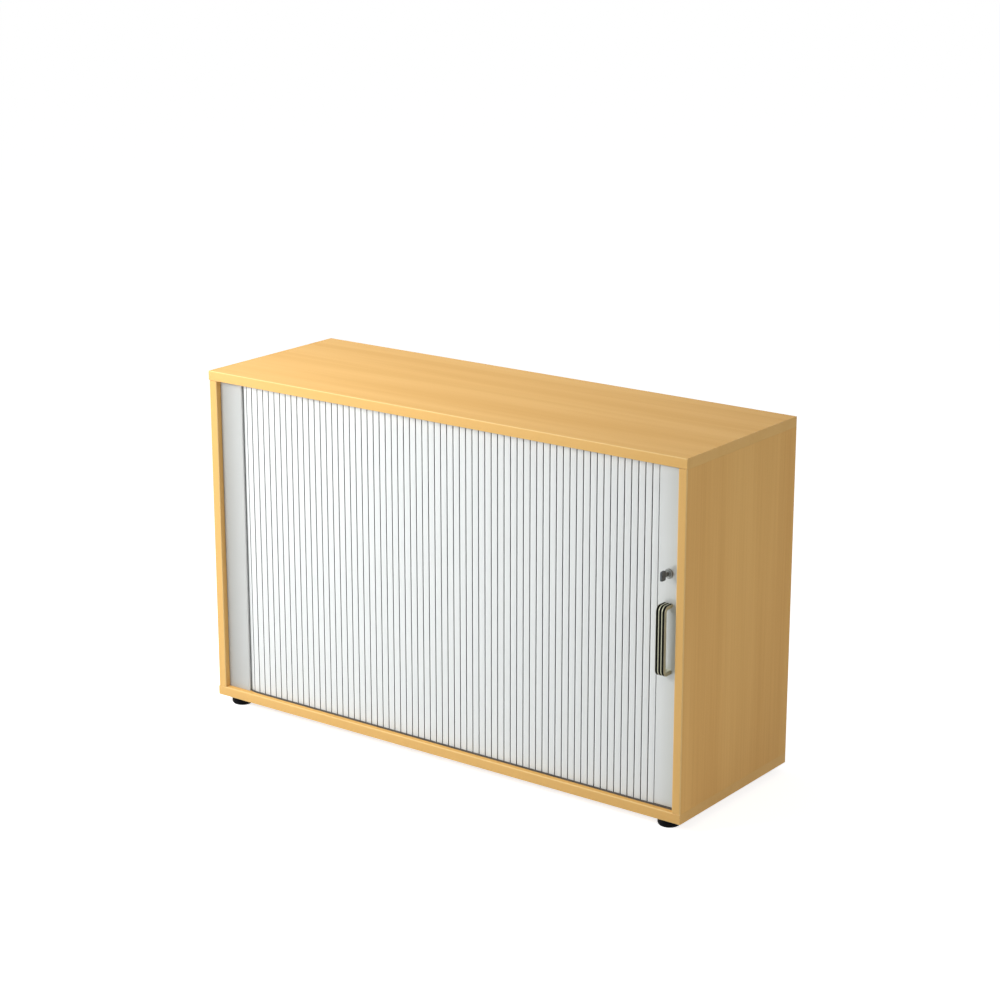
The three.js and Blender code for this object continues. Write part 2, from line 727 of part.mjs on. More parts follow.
const bowNearY = keyPinY + bowPinInset;
const bowHalf = bowHeight / 2;
const bowCorners = [
  [keyTipY, -1, -bowHalf, 1],
  [bowNearY, 1, -bowHalf, 1],
  [bowNearY, 1, bowHalf, -1],
  [keyTipY, -1, bowHalf, -1],
];
const bowOutline = [];
bowCorners.forEach(([y, outwards, z, inwards], corner) => {
  for (let step = 0; step <= cornerSteps; step++) {
    const turn = (quarterTurn * step) / cornerSteps;
    const angle = corner % 2 === 0 ? turn : quarterTurn - turn;
    const roundY = y + outwards * bowCorner * (Math.cos(angle) - 1);
    bowOutline.push(plan(roundY, z + inwards * bowCorner * (1 - Math.sin(angle))));
  }
});
const bowSlot = block(
  -bladeThickness / 2 - fitGap,
  bladeThickness / 2 + fitGap,
  keyPinY - bladeEar - bowSlotRoom,
  bowNearY + cutOverrun,
  -bowHalf - cutOverrun,
  bowHalf + cutOverrun,
);
const pinHole = keyPinHalfLength + fitGap;
const ringHoleY = keyTipY + ringHoleInset;
const keyBow = solid(sideways(bowOutline, -bowThickness / 2, bowThickness / 2))
  .subtract(solid(bowSlot))
  .subtract(solid(rodX(ringHoleRadius, -bowThickness, bowThickness, ringHoleY, 0)))
  .subtract(solid(rodX(keyPinRadius + fitGap, -pinHole, pinHole, keyPinY, 0)));
lock.add(piece('key_bow', keyBow, keyPlastic));

// Keeper: a plate flush in the right side, with a slot that the bolt enters
const keeperY = leadFrontY + (boltFrontY + boltRearY) / 2;
const keeperSlotHalf = boltThickness / 2 + keeperSlotSlack;
const keeperSlotHalfHeight = boltHalfHeight + keeperSlotSlack;
const boltSlot = solid(block(
  innerRightX - cutOverrun,
  innerRightX + keeperPocketDepth,
  keeperY - keeperSlotHalf,
  keeperY + keeperSlotHalf,
  lockHeight - keeperSlotHalfHeight,
  lockHeight + keeperSlotHalfHeight,
));
const keeper = solid(block(
  innerRightX,
  innerRightX + keeperThickness,
  keeperY - keeperHalfWidth,
  keeperY + keeperHalfWidth,
  lockHeight - keeperHalfHeight,
  lockHeight + keeperHalfHeight,
)).subtract(boltSlot);
cabinet.add(piece('lock_keeper', keeper, zincSteel));

const keeperRecess = solid(block(
  innerRightX - cutOverrun,
  innerRightX + keeperThickness + fitGap,
  keeperY - keeperHalfWidth - fitGap,
  keeperY + keeperHalfWidth + fitGap,
  lockHeight - keeperHalfHeight - fitGap,
  lockHeight + keeperHalfHeight + fitGap,
));
const rightSide = solid(block(innerRightX, rightX, frontY, rearY, bottomFaceZ, topFaceZ))
  .subtract(keeperRecess)
  .subtract(boltSlot)
  .subtract(pinHoles(innerRightX, -1));
cabinet.add(piece('right_side_panel', rightSide, beech));

export default cabinet;
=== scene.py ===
# %% [markdown]
# A tambour door cabinet: a beech carcass, and a curtain of upright slats that slides to the left.
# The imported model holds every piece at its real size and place, so it works as a fixed frame.
# This lesson dresses it. What shows is built again as a finer mesh in the same place, the rest
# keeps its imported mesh, and every piece gets a finish made of shader nodes. Lengths are in metres,
# +Z is up and the front of the cabinet faces -Y.

# %% Load the frame
import math

import bmesh
import bpy
from mathutils import Matrix, Vector


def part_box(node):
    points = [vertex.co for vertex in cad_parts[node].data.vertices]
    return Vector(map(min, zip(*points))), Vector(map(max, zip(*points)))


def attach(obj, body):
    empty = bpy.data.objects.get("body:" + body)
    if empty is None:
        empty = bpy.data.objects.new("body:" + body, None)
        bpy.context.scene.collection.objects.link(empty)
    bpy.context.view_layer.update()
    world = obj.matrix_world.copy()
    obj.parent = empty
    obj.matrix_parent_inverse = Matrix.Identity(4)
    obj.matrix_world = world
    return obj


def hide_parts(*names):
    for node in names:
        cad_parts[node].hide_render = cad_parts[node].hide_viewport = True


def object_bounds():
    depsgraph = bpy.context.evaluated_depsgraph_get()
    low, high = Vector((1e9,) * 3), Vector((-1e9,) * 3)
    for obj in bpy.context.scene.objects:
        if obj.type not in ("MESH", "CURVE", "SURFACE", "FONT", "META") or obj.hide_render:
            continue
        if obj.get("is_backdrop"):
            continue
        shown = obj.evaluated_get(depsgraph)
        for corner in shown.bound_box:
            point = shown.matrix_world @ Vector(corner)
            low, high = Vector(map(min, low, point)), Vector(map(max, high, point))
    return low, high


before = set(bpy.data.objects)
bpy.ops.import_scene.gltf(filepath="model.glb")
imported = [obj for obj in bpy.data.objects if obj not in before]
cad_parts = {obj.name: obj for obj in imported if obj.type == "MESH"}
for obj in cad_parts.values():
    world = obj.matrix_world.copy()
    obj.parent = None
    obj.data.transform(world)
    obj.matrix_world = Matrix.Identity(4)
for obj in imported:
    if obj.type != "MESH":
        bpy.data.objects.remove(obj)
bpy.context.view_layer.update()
mm = 0.001

# %% [markdown]
# The camera stands where the photograph was taken, in front of the right corner and above it.
# A long lens from five metres away keeps the upright edges nearly parallel, as they are there.

# %% Camera
def placed(name, data):
    """An object in the scene for a mesh, a lamp or a camera."""
    made = bpy.data.objects.new(name, data)
    bpy.context.scene.collection.objects.link(made)
    return made


camera_place = (2.93955, -3.91685, 1.93729)
camera_turn = math.radians(36.639)
camera_drop = math.radians(16.128)
lens_length_mm = 88.85
film_width_mm = 36
camera_data = bpy.data.cameras.new("camera")
camera_data.lens = lens_length_mm
camera_data.sensor_width = film_width_mm
camera = placed("camera", camera_data)
camera.location = camera_place
camera.rotation_euler = (math.pi / 2 - camera_drop, 0, camera_turn)
bpy.context.scene.camera = camera
bpy.context.scene.view_settings.view_transform = "Standard"

# %% [markdown]
# A product photograph is lit by large soft lamps and by the white walls around it. Here one lamp
# stands in front of the left end, low enough to reach in under the top, and one hangs above the
# left end, so the front and the top both darken to the right. A weak one far out to the right
# opens the shaded side. The world is the walls. What the camera and the reflections see of it is
# plain white, while it lights the cabinet at a lower level, so white never comes from more light.

# %% Node helpers
def add_node(tree, kind, **settings):
    node = tree.nodes.new(kind)
    for name, value in settings.items():
        setattr(node, name, value)
    return node


def join(value, socket):
    """Links a socket to another one, or sets a plain value on it."""
    if isinstance(value, bpy.types.NodeSocket):
        socket.id_data.links.new(value, socket)
    else:
        socket.default_value = value


def calculate(tree, operation, *values):
    node = add_node(tree, "ShaderNodeMath", operation=operation)
    for value, socket in zip(values, node.inputs):
        join(value, socket)
    return node.outputs[0]


def between(tree, mask, low, high):
    """A mask from 0 to 1, turned into a number from low to high."""
    return calculate(tree, "ADD", calculate(tree, "MULTIPLY", mask, high - low), low)


def seen_directly(tree):
    """1 where the ray comes from the camera, a reflection or a see-through piece."""
    path = add_node(tree, "ShaderNodeLightPath")
    seen = calculate(tree, "MAXIMUM", path.outputs["Is Camera Ray"], path.outputs["Is Glossy Ray"])
    return calculate(tree, "MAXIMUM", seen, path.outputs["Is Transmission Ray"])


# %% World
wall_light = 0.3
world = bpy.data.worlds.new("walls")
world.use_nodes = True
world_tree = world.node_tree
background = world_tree.nodes["Background"]
background.inputs["Color"].default_value = (1, 1, 1, 1)
wall_strength = between(world_tree, seen_directly(world_tree), wall_light, 1)
join(wall_strength, background.inputs["Strength"])
bpy.context.scene.world = world
print("walls light the cabinet at", wall_light)

# %% Lamps
def soft_lamp(name, place, target, size, watts):
    data = bpy.data.lights.new(name, "AREA")
    data.shape = "DISK"
    data.size = size
    data.energy = watts
    lamp = placed(name, data)
    lamp.location = place
    lamp.rotation_euler = (Vector(target) - Vector(place)).to_track_quat("-Z", "Y").to_euler()
    print(name, watts, "W,", size, "m across")


lamp_plans = {
    "front_lamp": {"place": (-1.0, -1.62, 1.42), "target": (0, 0, 0.4), "size": 1.1, "watts": 37},
    "top_lamp": {"place": (-0.7, -0.2, 2.5), "target": (-0.7, -0.2, 0), "size": 1.2, "watts": 18},
    "side_lamp": {"place": (3.2, -0.4, 0.7), "target": (0.6, 0, 0.3), "size": 2.0, "watts": 18},
}
for name, plan in lamp_plans.items():
    soft_lamp(name, **plan)

# %% [markdown]
# The floor is a pale disc so wide that its edge lies past the picture. For the eye alone it glows
# a little on top of the light that falls on it, which makes it white and leaves a faint shadow.

# %% Floor
def as_object(name, bm):
    mesh = bpy.data.meshes.new(name)
    bm.to_mesh(mesh)
    bm.free()
    return placed(name, mesh)


floor_radius = 40
floor_sides = 64
floor_shade = 0.7
floor_glow = 0.79
floor_mesh = bmesh.new()
bmesh.ops.create_circle(floor_mesh, cap_ends=True, radius=floor_radius, segments=floor_sides)
floor = as_object("floor", floor_mesh)
floor_finish = bpy.data.materials.new("floor")
floor_finish.use_nodes = True
floor_tree = floor_finish.node_tree
floor_tree.nodes.clear()
matt = add_node(floor_tree, "ShaderNodeBsdfDiffuse")
matt.inputs["Color"].default_value = (floor_shade, floor_shade, floor_shade, 1)
glow = add_node(floor_tree, "ShaderNodeEmission")
glow_strength = calculate(floor_tree, "MULTIPLY", seen_directly(floor_tree), floor_glow)
join(glow_strength, glow.inputs["Strength"])
both = add_node(floor_tree, "ShaderNodeAddShader")
join(matt.outputs[0], both.inputs[0])
join(glow.outputs[0], both.inputs[1])
floor_out = add_node(floor_tree, "ShaderNodeOutputMaterial")
join(both.outputs[0], floor_out.inputs["Surface"])
floor.data.materials.append(floor_finish)
floor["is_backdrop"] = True
print("floor", 2 * floor_radius, "m across")

# %% [markdown]
# The carcass is chipboard under a printed beech foil. Such a foil shows three things at three
# scales: soft bands a few centimetres wide, fine streaks of a millimetre or two, and the short
# dark flecks that beech is known by. All three are noise that is stretched along the grain. They
# share one node group, which puts out the colour, the grain as a mask and a height.

# %% Helpers for node groups
def new_group(name, inputs, outputs):
    """A node group and its two sets of sockets. inputs and outputs name the kind of each."""
    group = bpy.data.node_groups.new(name, "ShaderNodeTree")
    for way, sockets in (("INPUT", inputs), ("OUTPUT", outputs)):
        for label, kind in sockets.items():
            group.interface.new_socket(label, in_out=way, socket_type=f"NodeSocket{kind}")
    given, results = add_node(group, "NodeGroupInput"), add_node(group, "NodeGroupOutput")
    return group, given.outputs, results.inputs


def feed(sockets, values):
    """Joins each value to the socket of its name."""
    for label, value in values.items():
        join(value, sockets[label])


def stretched_noise(tree, place, waves, detail=2):
    """Noise with the first number of waves a metre along X, and the second across it."""
    along, across = waves
    stretch = add_node(tree, "ShaderNodeVectorMath", operation="MULTIPLY")
    join(place, stretch.inputs[0])
    join((along, across, across), stretch.inputs[1])
    noise = add_node(tree, "ShaderNodeTexNoise")
    feed(noise.inputs, {"Vector": stretch.outputs[0], "Scale": 1, "Detail": detail})
    return noise.outputs[0]


def spread(tree, value, low, high):
    """The part of a value between low and high, spread over 0 to 1."""
    node = add_node(tree, "ShaderNodeMapRange", interpolation_type="SMOOTHSTEP")
    feed(node.inputs, {"Value": value, "From Min": low, "From Max": high})
    return node.outputs["Result"]


def mixed(tree, factor, first, second):
    node = add_node(tree, "ShaderNodeMix", data_type="RGBA")
    used = [socket for socket in node.inputs if socket.enabled]
    for value, socket in zip((factor, first, second), used):
        join(value, socket)
    return next(socket for socket in node.outputs if socket.enabled)


# %% Group: beech grain
# Waves a metre along and across the grain, and the part of the noise that becomes 0 to 1.
beech_layers = {
    "Bands": {"waves": (0.8, 17), "limits": (0.32, 0.68), "detail": 2},
    "Streaks": {"waves": (2.5, 190), "limits": (0.35, 0.7), "detail": 3},
    "Flecks": {"waves": (170, 2100), "limits": (0.6, 0.7), "detail": 1},
}
streak_depth_share = 0.35
beech_group, beech_in, beech_out = new_group(
    "beech_grain",
    {"Place": "Vector", "Pale": "Color", "Deep": "Color", **dict.fromkeys(beech_layers, "Float")},
    {"Color": "Color", "Grain": "Float", "Height": "Float"},
)
masks, parts = {}, []
for label, plan in beech_layers.items():
    noise = stretched_noise(beech_group, beech_in["Place"], plan["waves"], plan["detail"])
    masks[label] = spread(beech_group, noise, *plan["limits"])
    parts.append(calculate(beech_group, "MULTIPLY", masks[label], beech_in[label]))
grain = calculate(beech_group, "ADD", calculate(beech_group, "ADD", *parts[:2]), parts[2])
hollow = calculate(beech_group, "MULTIPLY", masks["Streaks"], streak_depth_share)
hollow = calculate(beech_group, "ADD", hollow, masks["Flecks"])
height = calculate(beech_group, "SUBTRACT", 1, hollow)
colour = mixed(beech_group, grain, beech_in["Pale"], beech_in["Deep"])
feed(beech_out, {"Color": colour, "Grain": grain, "Height": height})
print("group", beech_group.name, "has", len(beech_group.nodes), "nodes")

# %% [markdown]
# Every material starts the same way: a Principled shader with its plain numbers, and the place on
# the piece as a vector. A bump node turns a height into a surface that catches the light, and its
# distance is the real depth of the relief.

# %% Material helpers
def new_finish(name, colour, roughness, metallic=0.0, **others):
    material = bpy.data.materials.new(name)
    material.use_nodes = True
    tree = material.node_tree
    shader = tree.nodes["Principled BSDF"]
    plain = {"Base Color": (*colour, 1), "Roughness": roughness, "Metallic": metallic, **others}
    for label, value in plain.items():
        shader.inputs[label].default_value = value
    place = add_node(tree, "ShaderNodeTexCoord").outputs["Object"]
    return material, tree, shader, place


def turned_place(tree, place, turn):
    """The place, turned so that the grain's way lies along X."""
    mapping = add_node(tree, "ShaderNodeMapping")
    feed(mapping.inputs, {"Vector": place, "Rotation": turn})
    return mapping.outputs[0]


def add_group(tree, group, values):
    """Places a group in a tree, feeds it and gives its outputs."""
    node = add_node(tree, "ShaderNodeGroup", node_tree=group)
    feed(node.inputs, values)
    return node.outputs


def surface(tree, shader, look, rough, height, depth):
    """Feeds a shader its colour, its roughness and a relief of a real depth."""
    bump = add_node(tree, "ShaderNodeBump")
    feed(bump.inputs, {"Distance": depth, "Height": height})
    feed(shader.inputs, {"Base Color": look, "Roughness": rough, "Normal": bump.outputs[0]})


# %% [markdown]
# A highlight is painted on the rounded arris of an edge band, which makes it paler than its flats.
# The mask is a share times its rest, the share being how far a surface faces the front. It is
# greatest where the surface is half turned away, so it shows on the roundings alone, whichever way
# they run.

# %% Group: painted arris highlight
# A mask of the roundings, where a highlight is painted on the edge bands.
arris_highlight_ways = ({"Strength": "Float"}, {"Mask": "Float"})
arris_highlight_group, arris_highlight_in, arris_highlight_out = new_group("rubbed_arris", *arris_highlight_ways)
arris_parts = add_node(arris_highlight_group, "ShaderNodeSeparateXYZ")
join(add_node(arris_highlight_group, "ShaderNodeTexCoord").outputs["Normal"], arris_parts.inputs[0])
facing = calculate(arris_highlight_group, "ABSOLUTE", arris_parts.outputs["Y"])
turned_away = calculate(arris_highlight_group, "SUBTRACT", 1, facing)
half_turned = calculate(arris_highlight_group, "MULTIPLY", facing, turned_away)
feed(arris_highlight_out, {"Mask": calculate(arris_highlight_group, "MULTIPLY", half_turned, arris_highlight_in["Strength"])})
print("group", arris_highlight_group.name, "has", len(arris_highlight_group.nodes), "nodes")

# %% Finish: beech foil and its edge bands
faint_gloss = {"Specular IOR Level": 0.04}
# A share times its rest is a quarter at most, so a strength of 4 brings the mask up to 1.
arris_highlight_strength = 4
beech_relief = 0.03 * mm
pale_polish = 0.04
deep_roughening = 0.1


def beech_finish(name, turn, roughness, pale, deep, shares, rubbed=None):
    material, tree, shader, place = new_finish(name, pale, roughness, **faint_gloss)
    values = {"Place": turned_place(tree, place, turn), "Pale": (*pale, 1), "Deep": (*deep, 1)}
    beech = add_group(tree, beech_group, {**values, **dict(zip(beech_layers, shares))})
    look = beech["Color"]
    # Where a highlight colour is given, it is painted on the roundings as a highlight.
    if rubbed:
        mask = add_group(tree, arris_highlight_group, {"Strength": arris_highlight_strength})["Mask"]
        look = mixed(tree, mask, look, (*rubbed, 1))
    rough = between(tree, beech["Grain"], roughness - pale_polish, roughness + deep_roughening)
    surface(tree, shader, look, rough, beech["Height"], beech_relief)
    return material


grain_along_x = (0, 0, 0)
grain_along_z = (0, math.pi / 2, 0)
foil_rough = 0.42
band_rough = 0.34
lying_look = {"pale": (0.83, 0.5, 0.16), "deep": (0.7, 0.385, 0.11), "shares": (0.5, 0.12, 0.15)}
standing_look = {"pale": (0.83, 0.5, 0.17), "deep": (0.7, 0.382, 0.12), "shares": (0.44, 0.24, 0.2)}
band_look = {"pale": (0.79, 0.495, 0.18), "deep": (0.71, 0.41, 0.13), "shares": (0.3, 0.12, 0.15)}
# The bands' roundings are painted paler, as a highlight.
band_look["rubbed"] = (0.86, 0.6, 0.26)
beech_lying = beech_finish("beech_lying", grain_along_x, foil_rough, **lying_look)
beech_standing = beech_finish("beech_standing", grain_along_z, foil_rough, **standing_look)
band_lying = beech_finish("band_lying", grain_along_x, band_rough, **band_look)
band_standing = beech_finish("band_standing", grain_along_z, band_rough, **band_look)
print("beech finishes: boards and bands, lying and standing")

# %% [markdown]
# Two more effects are shared. Whatever is drawn through a die or brushed has fine lines along its
# length. Whatever is moulded or plated has a fine even skin. Both also have wide faint patches
# where hands and cloths have polished them, which change the roughness a little.

# %% Group: drawn lines
lines_ways = ({"Place": "Vector"}, {"Lines": "Float", "Patches": "Float"})
lines_group, lines_in, lines_out = new_group("drawn_lines", *lines_ways)
wide_line_waves = (1.5, 420)
thin_line_waves = (6, 2600)
line_limits = (0.6, 1.4)
long_patch_waves = (5, 14)
patch_limits = (0.35, 0.65)
all_waves = (wide_line_waves, thin_line_waves, long_patch_waves)
wide, thin, patches = (stretched_noise(lines_group, lines_in["Place"], waves) for waves in all_waves)
lines = spread(lines_group, calculate(lines_group, "ADD", wide, thin), *line_limits)
feed(lines_out, {"Lines": lines, "Patches": spread(lines_group, patches, *patch_limits)})
print("group", lines_group.name, "has", len(lines_group.nodes), "nodes")

# %% Group: moulded skin
skin_ways = ({"Place": "Vector", "Grain size": "Float"}, {"Skin": "Float", "Patches": "Float"})
skin_group, skin_in, skin_out = new_group("moulded_skin", *skin_ways)
skin_detail = 3
round_patch_waves = (70, 70)
skin_noise = add_node(skin_group, "ShaderNodeTexNoise")
scale = calculate(skin_group, "DIVIDE", 1, skin_in["Grain size"])
feed(skin_noise.inputs, {"Vector": skin_in["Place"], "Scale": scale, "Detail": skin_detail})
patches = stretched_noise(skin_group, skin_in["Place"], round_patch_waves)
patches = spread(skin_group, patches, *patch_limits)
feed(skin_out, {"Skin": skin_noise.outputs[0], "Patches": patches})
print("group", skin_group.name, "has", len(skin_group.nodes), "nodes")

# %% Finishes: drawn plastics and metals
line_polish = 0.05
patch_lightening = 1.25
patch_roughening = 0.1


def drawn_finish(name, colour, roughness, depth, dark_share, metallic=0.0):
    """A finish with lines along Z, whose hollows are darker by a share."""
    material, tree, shader, place = new_finish(name, colour, roughness, metallic)
    drawn = add_group(tree, lines_group, {"Place": turned_place(tree, place, grain_along_z)})
    darker = tuple(channel * (1 - dark_share) for channel in colour)
    shade = mixed(tree, drawn["Lines"], (*darker, 1), (*colour, 1))
    rough = between(tree, drawn["Patches"], roughness - line_polish, roughness + line_polish)
    surface(tree, shader, shade, rough, drawn["Lines"], depth)
    return material, tree, shader, shade


def moulded_finish(name, colour, roughness, grain_size, depth, **others):
    """A finish with a fine grain of a real size, and slightly lighter patches."""
    material, tree, shader, place = new_finish(name, colour, roughness, **others)
    moulded = add_group(tree, skin_group, {"Place": place, "Grain size": grain_size})
    lighter = tuple(min(1, channel * patch_lightening) for channel in colour)
    shade = mixed(tree, moulded["Patches"], (*colour, 1), (*lighter, 1))
    rough = between(tree, moulded["Patches"], roughness, roughness + patch_roughening)
    surface(tree, shader, shade, rough, moulded["Skin"], depth)
    return material


# %% [markdown]
# A slat is drawn from white plastic with a silver tinge. Its two shoulders are painted paler than
# the flat between them, a painted highlight on their roundings. Each point of a slat's mesh
# carries its share across the slat as an attribute named across, and the material turns that into
# masks of the shoulders and of the dark hinge lines, which are painted shade in the grooves.

# %% Finish: slats
slat_colour = (0.77, 0.795, 0.79)
# The shoulders' paler colour is a painted highlight.
shoulder_highlight_colour = (0.85, 0.87, 0.87)
# The hinge colour is painted shade in the grooves between the slats.
hinge_shade_colour = (0.1, 0.105, 0.11)
middle_share = 0.5
shoulder_highlight_shares = (0.27, 0.37)
hinge_shade_shares = (0.432, 0.437)
slat_lines = {"roughness": 0.4, "depth": 0.02 * mm, "dark_share": 0.04}
slat_finish, slat_tree, slat_shader, slat_look = drawn_finish("slat", slat_colour, **slat_lines)
across = add_node(slat_tree, "ShaderNodeAttribute", attribute_name="across")
off_middle = calculate(slat_tree, "SUBTRACT", across.outputs["Fac"], middle_share)
off_middle = calculate(slat_tree, "ABSOLUTE", off_middle)
# A painted highlight on the shoulders, then painted shade on the hinge lines.
for shares, colour in ((shoulder_highlight_shares, shoulder_highlight_colour), (hinge_shade_shares, hinge_shade_colour)):
    slat_look = mixed(slat_tree, spread(slat_tree, off_middle, *shares), slat_look, (*colour, 1))
join(slat_look, slat_shader.inputs["Base Color"])
print("slat finish", slat_colour)

# %% Finishes: the rest
handle_colour = (0.47, 0.47, 0.34)
black_colour = (0.004, 0.004, 0.005)
rail_colour = (0.11, 0.105, 0.095)
inlay_colour = (0.003, 0.003, 0.002)
nickel_colour = (0.2, 0.21, 0.2)
key_colour = (0.094, 0.104, 0.109)
zinc_colour = (0.48, 0.5, 0.52)
handle_lines = {"roughness": 0.42, "depth": 0.01 * mm, "dark_share": 0.1, "metallic": 0.45}
plastic_skin = {"roughness": 0.5, "grain_size": 0.5 * mm, "depth": 0.02 * mm, **faint_gloss}
inlay_skin = {**plastic_skin, "grain_size": 0.4 * mm, "depth": 0.01 * mm}
key_skin = {**plastic_skin, "depth": 0.03 * mm}
nickel_skin = {"roughness": 0.42, "grain_size": 0.3 * mm, "depth": 0.004 * mm, "metallic": 0.6}
zinc_skin = {"roughness": 0.32, "grain_size": 0.6 * mm, "depth": 0.006 * mm, "metallic": 0.9}
handle_finish = drawn_finish("handle_metal", handle_colour, **handle_lines)[0]
black_finish = moulded_finish("black_plastic", black_colour, **plastic_skin)
rail_finish = moulded_finish("rail_plastic", rail_colour, **plastic_skin)
inlay_finish = moulded_finish("handle_inlay", inlay_colour, **inlay_skin)
nickel_finish = moulded_finish("lock_nickel", nickel_colour, **nickel_skin)
key_finish = moulded_finish("key_plastic", key_colour, **key_skin)
zinc_finish = moulded_finish("zinc_steel", zinc_colour, **zinc_skin)
print("finishes", len(bpy.data.materials))

# %% [markdown]
# Two pieces have shade painted across their width. The grey cover strip is painted darker where it
# meets the side panel, as that panel's shade, and paler towards its free edge, as painted light.
# The lead profile is painted a little darker at its right edge, as painted shade from the side
# panel beside it. The mask is the place across the piece.

# %% Finishes: cover strip and lead profile
def shaded_across(finish, low, high, far_colour):
    """Paints shade across a piece: another colour mixed into a finish, from none at its left to all at
    its right.
    """
    material, tree, shader, shade = finish
    split = add_node(tree, "ShaderNodeSeparateXYZ")
    join(add_node(tree, "ShaderNodeTexCoord").outputs["Object"], split.inputs[0])
    share = spread(tree, split.outputs[0], low.x, high.x)
    join(mixed(tree, share, shade, (*far_colour, 1)), shader.inputs["Base Color"])
    return material


strip_low, strip_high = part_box("left_cover_strip")
# Painted shade: darker at the side panel, and painted light towards the free edge.
strip_shaded_colour = (0.37, 0.375, 0.36)
strip_lit_colour = (0.5, 0.515, 0.505)
strip_lines = {"roughness": 0.38, "depth": 0.02 * mm, "dark_share": 0.03}
strip_finish = drawn_finish("cover_strip", strip_shaded_colour, **strip_lines)
strip_finish = shaded_across(strip_finish, strip_low, strip_high, strip_lit_colour)
lead_low, lead_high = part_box("lead_profile")
lead_colour = (0.632, 0.652, 0.645)
# Painted shade: a little darker at the right edge, beside the side panel.
lead_shaded_colour = (0.505, 0.53, 0.515)
lead_lines = {"roughness": 0.34, "depth": 0.01 * mm, "dark_share": 0.04, "metallic": 0.25}
lead_finish = drawn_finish("lead_profile", lead_colour, **lead_lines)
lead_finish = shaded_across(lead_finish, lead_low, lead_high, lead_shaded_colour)
print("strip", strip_shaded_colour, "to", strip_lit_colour, "and lead", lead_colour, "to", lead_shaded_colour)

# %% [markdown]
# Three ways of making a mesh cover the whole cabinet. A closed outline swept along stations makes
# boards, channels, slats and the handle. A profile turned about an axis makes feet, rings and
# pins. A Boolean modifier cuts holes and grooves. Corners are rounded in the outline itself, so
# the roundings are exact and the faces stay clean.

# %% Outlines with rounded corners
nearly_straight = math.radians(89)


def rounded(outline, radii, steps=5):
    """The closed outline with an arc in place of each corner, of that corner's radius."""
    points = []
    for index, radius in enumerate(radii):
        corner = Vector(outline[index])
        before = Vector(outline[index - 1]) - corner
        after = Vector(outline[(index + 1) % len(outline)]) - corner
        half = before.angle(after) / 2
        if radius == 0 or half > nearly_straight:
            points.append(corner)
            continue
        before.normalize()
        after.normalize()
        start = corner + before * radius / math.tan(half)
        middle = corner + (before + after).normalized() * radius / math.sin(half)
        way = 1 if before.cross(after) < 0 else -1
        sweep = way * (math.pi - 2 * half)
        for step in range(steps + 1):
            points.append(middle + Matrix.Rotation(sweep * step / steps, 2) @ (start - middle))
    return points


def corners(left, right, low, high):
    return [(left, low), (right, low), (right, high), (left, high)]


# %% Sweeping and turning
x_way = Vector((1, 0, 0))
y_way = Vector((0, 1, 0))
z_way = Vector((0, 0, 1))
merge_distance = 0.001 * mm


def swept(outline, stations):
    """A closed tube: each station is an origin and the ways that the outline's two numbers run."""
    bm = bmesh.new()
    rings = []
    for origin, first_way, second_way in stations:
        rings.append([bm.verts.new(origin + u * first_way + v * second_way) for u, v in outline])
    count = len(outline)
    for near, far in zip(rings, rings[1:]):
        for index in range(count):
            following = (index + 1) % count
            bm.faces.new((near[index], near[following], far[following], far[index]))
    bm.faces.new(rings[0])
    bm.faces.new(rings[-1])
    bmesh.ops.recalc_face_normals(bm, faces=bm.faces)
    return bm


def upright(outline, low, high):
    """An outline in plan, drawn upwards."""
    return swept(outline, [(z_way * low, x_way, y_way), (z_way * high, x_way, y_way)])


def sideways(outline, left, right):
    """An outline in Y and Z, drawn along X."""
    return swept(outline, [(x_way * left, y_way, z_way), (x_way * right, y_way, z_way)])


def turned(profile, centre, axis, steps=48):
    """A profile of radius and height, turned about an axis through the centre."""
    bm = bmesh.new()
    points = [bm.verts.new((radius, 0, height)) for radius, height in profile]
    edges = [bm.edges.new(pair) for pair in zip(points, points[1:])]
    if profile[0][0] != 0:
        edges.append(bm.edges.new((points[-1], points[0])))
    whole_turn = {"cent": (0, 0, 0), "axis": z_way, "angle": 2 * math.pi, "use_merge": True}
    bmesh.ops.spin(bm, geom=points + edges, steps=steps, **whole_turn)
    bmesh.ops.remove_doubles(bm, verts=bm.verts, dist=merge_distance)
    bmesh.ops.recalc_face_normals(bm, faces=bm.faces)
    turn = axis.to_track_quat("Z", "Y").to_matrix().to_4x4()
    bmesh.ops.transform(bm, matrix=Matrix.Translation(centre) @ turn, verts=bm.verts)
    return bm


def rod(radius, start, end, centre, axis, steps=48):
    """A round rod from one place along an axis to another, both counted from the centre."""
    return turned([(0, start), (radius, start), (radius, end), (0, end)], centre, axis, steps)


def soften(bm, edges, radius, steps):
    bmesh.ops.bevel(bm, geom=edges, offset=radius, segments=steps, profile=0.5, affect="EDGES")


def block(low, high, radius=0.0, steps=3):
    """A box, with all its edges rounded if a radius is given."""
    bm = upright(corners(low[0], high[0], low[1], high[1]), low[2], high[2])
    if radius:
        soften(bm, bm.edges, radius, steps)
    return bm


# %% From mesh to piece
crease = math.radians(32)


def combined(piece, operation, meshes):
    """The piece with closed meshes added to it or taken out of it."""
    tools = [as_object("tool", mesh) for mesh in meshes]
    for tool in tools:
        modifier = piece.modifiers.new("tool", "BOOLEAN")
        modifier.operation = operation
        modifier.solver = "EXACT"
        modifier.object = tool
    depsgraph = bpy.context.evaluated_depsgraph_get()
    piece.data = bpy.data.meshes.new_from_object(piece.evaluated_get(depsgraph))
    piece.modifiers.clear()
    for tool in tools:
        bpy.data.objects.remove(tool)


def cut(piece, *meshes):
    combined(piece, "DIFFERENCE", meshes)


def joined(piece, *meshes):
    combined(piece, "UNION", meshes)


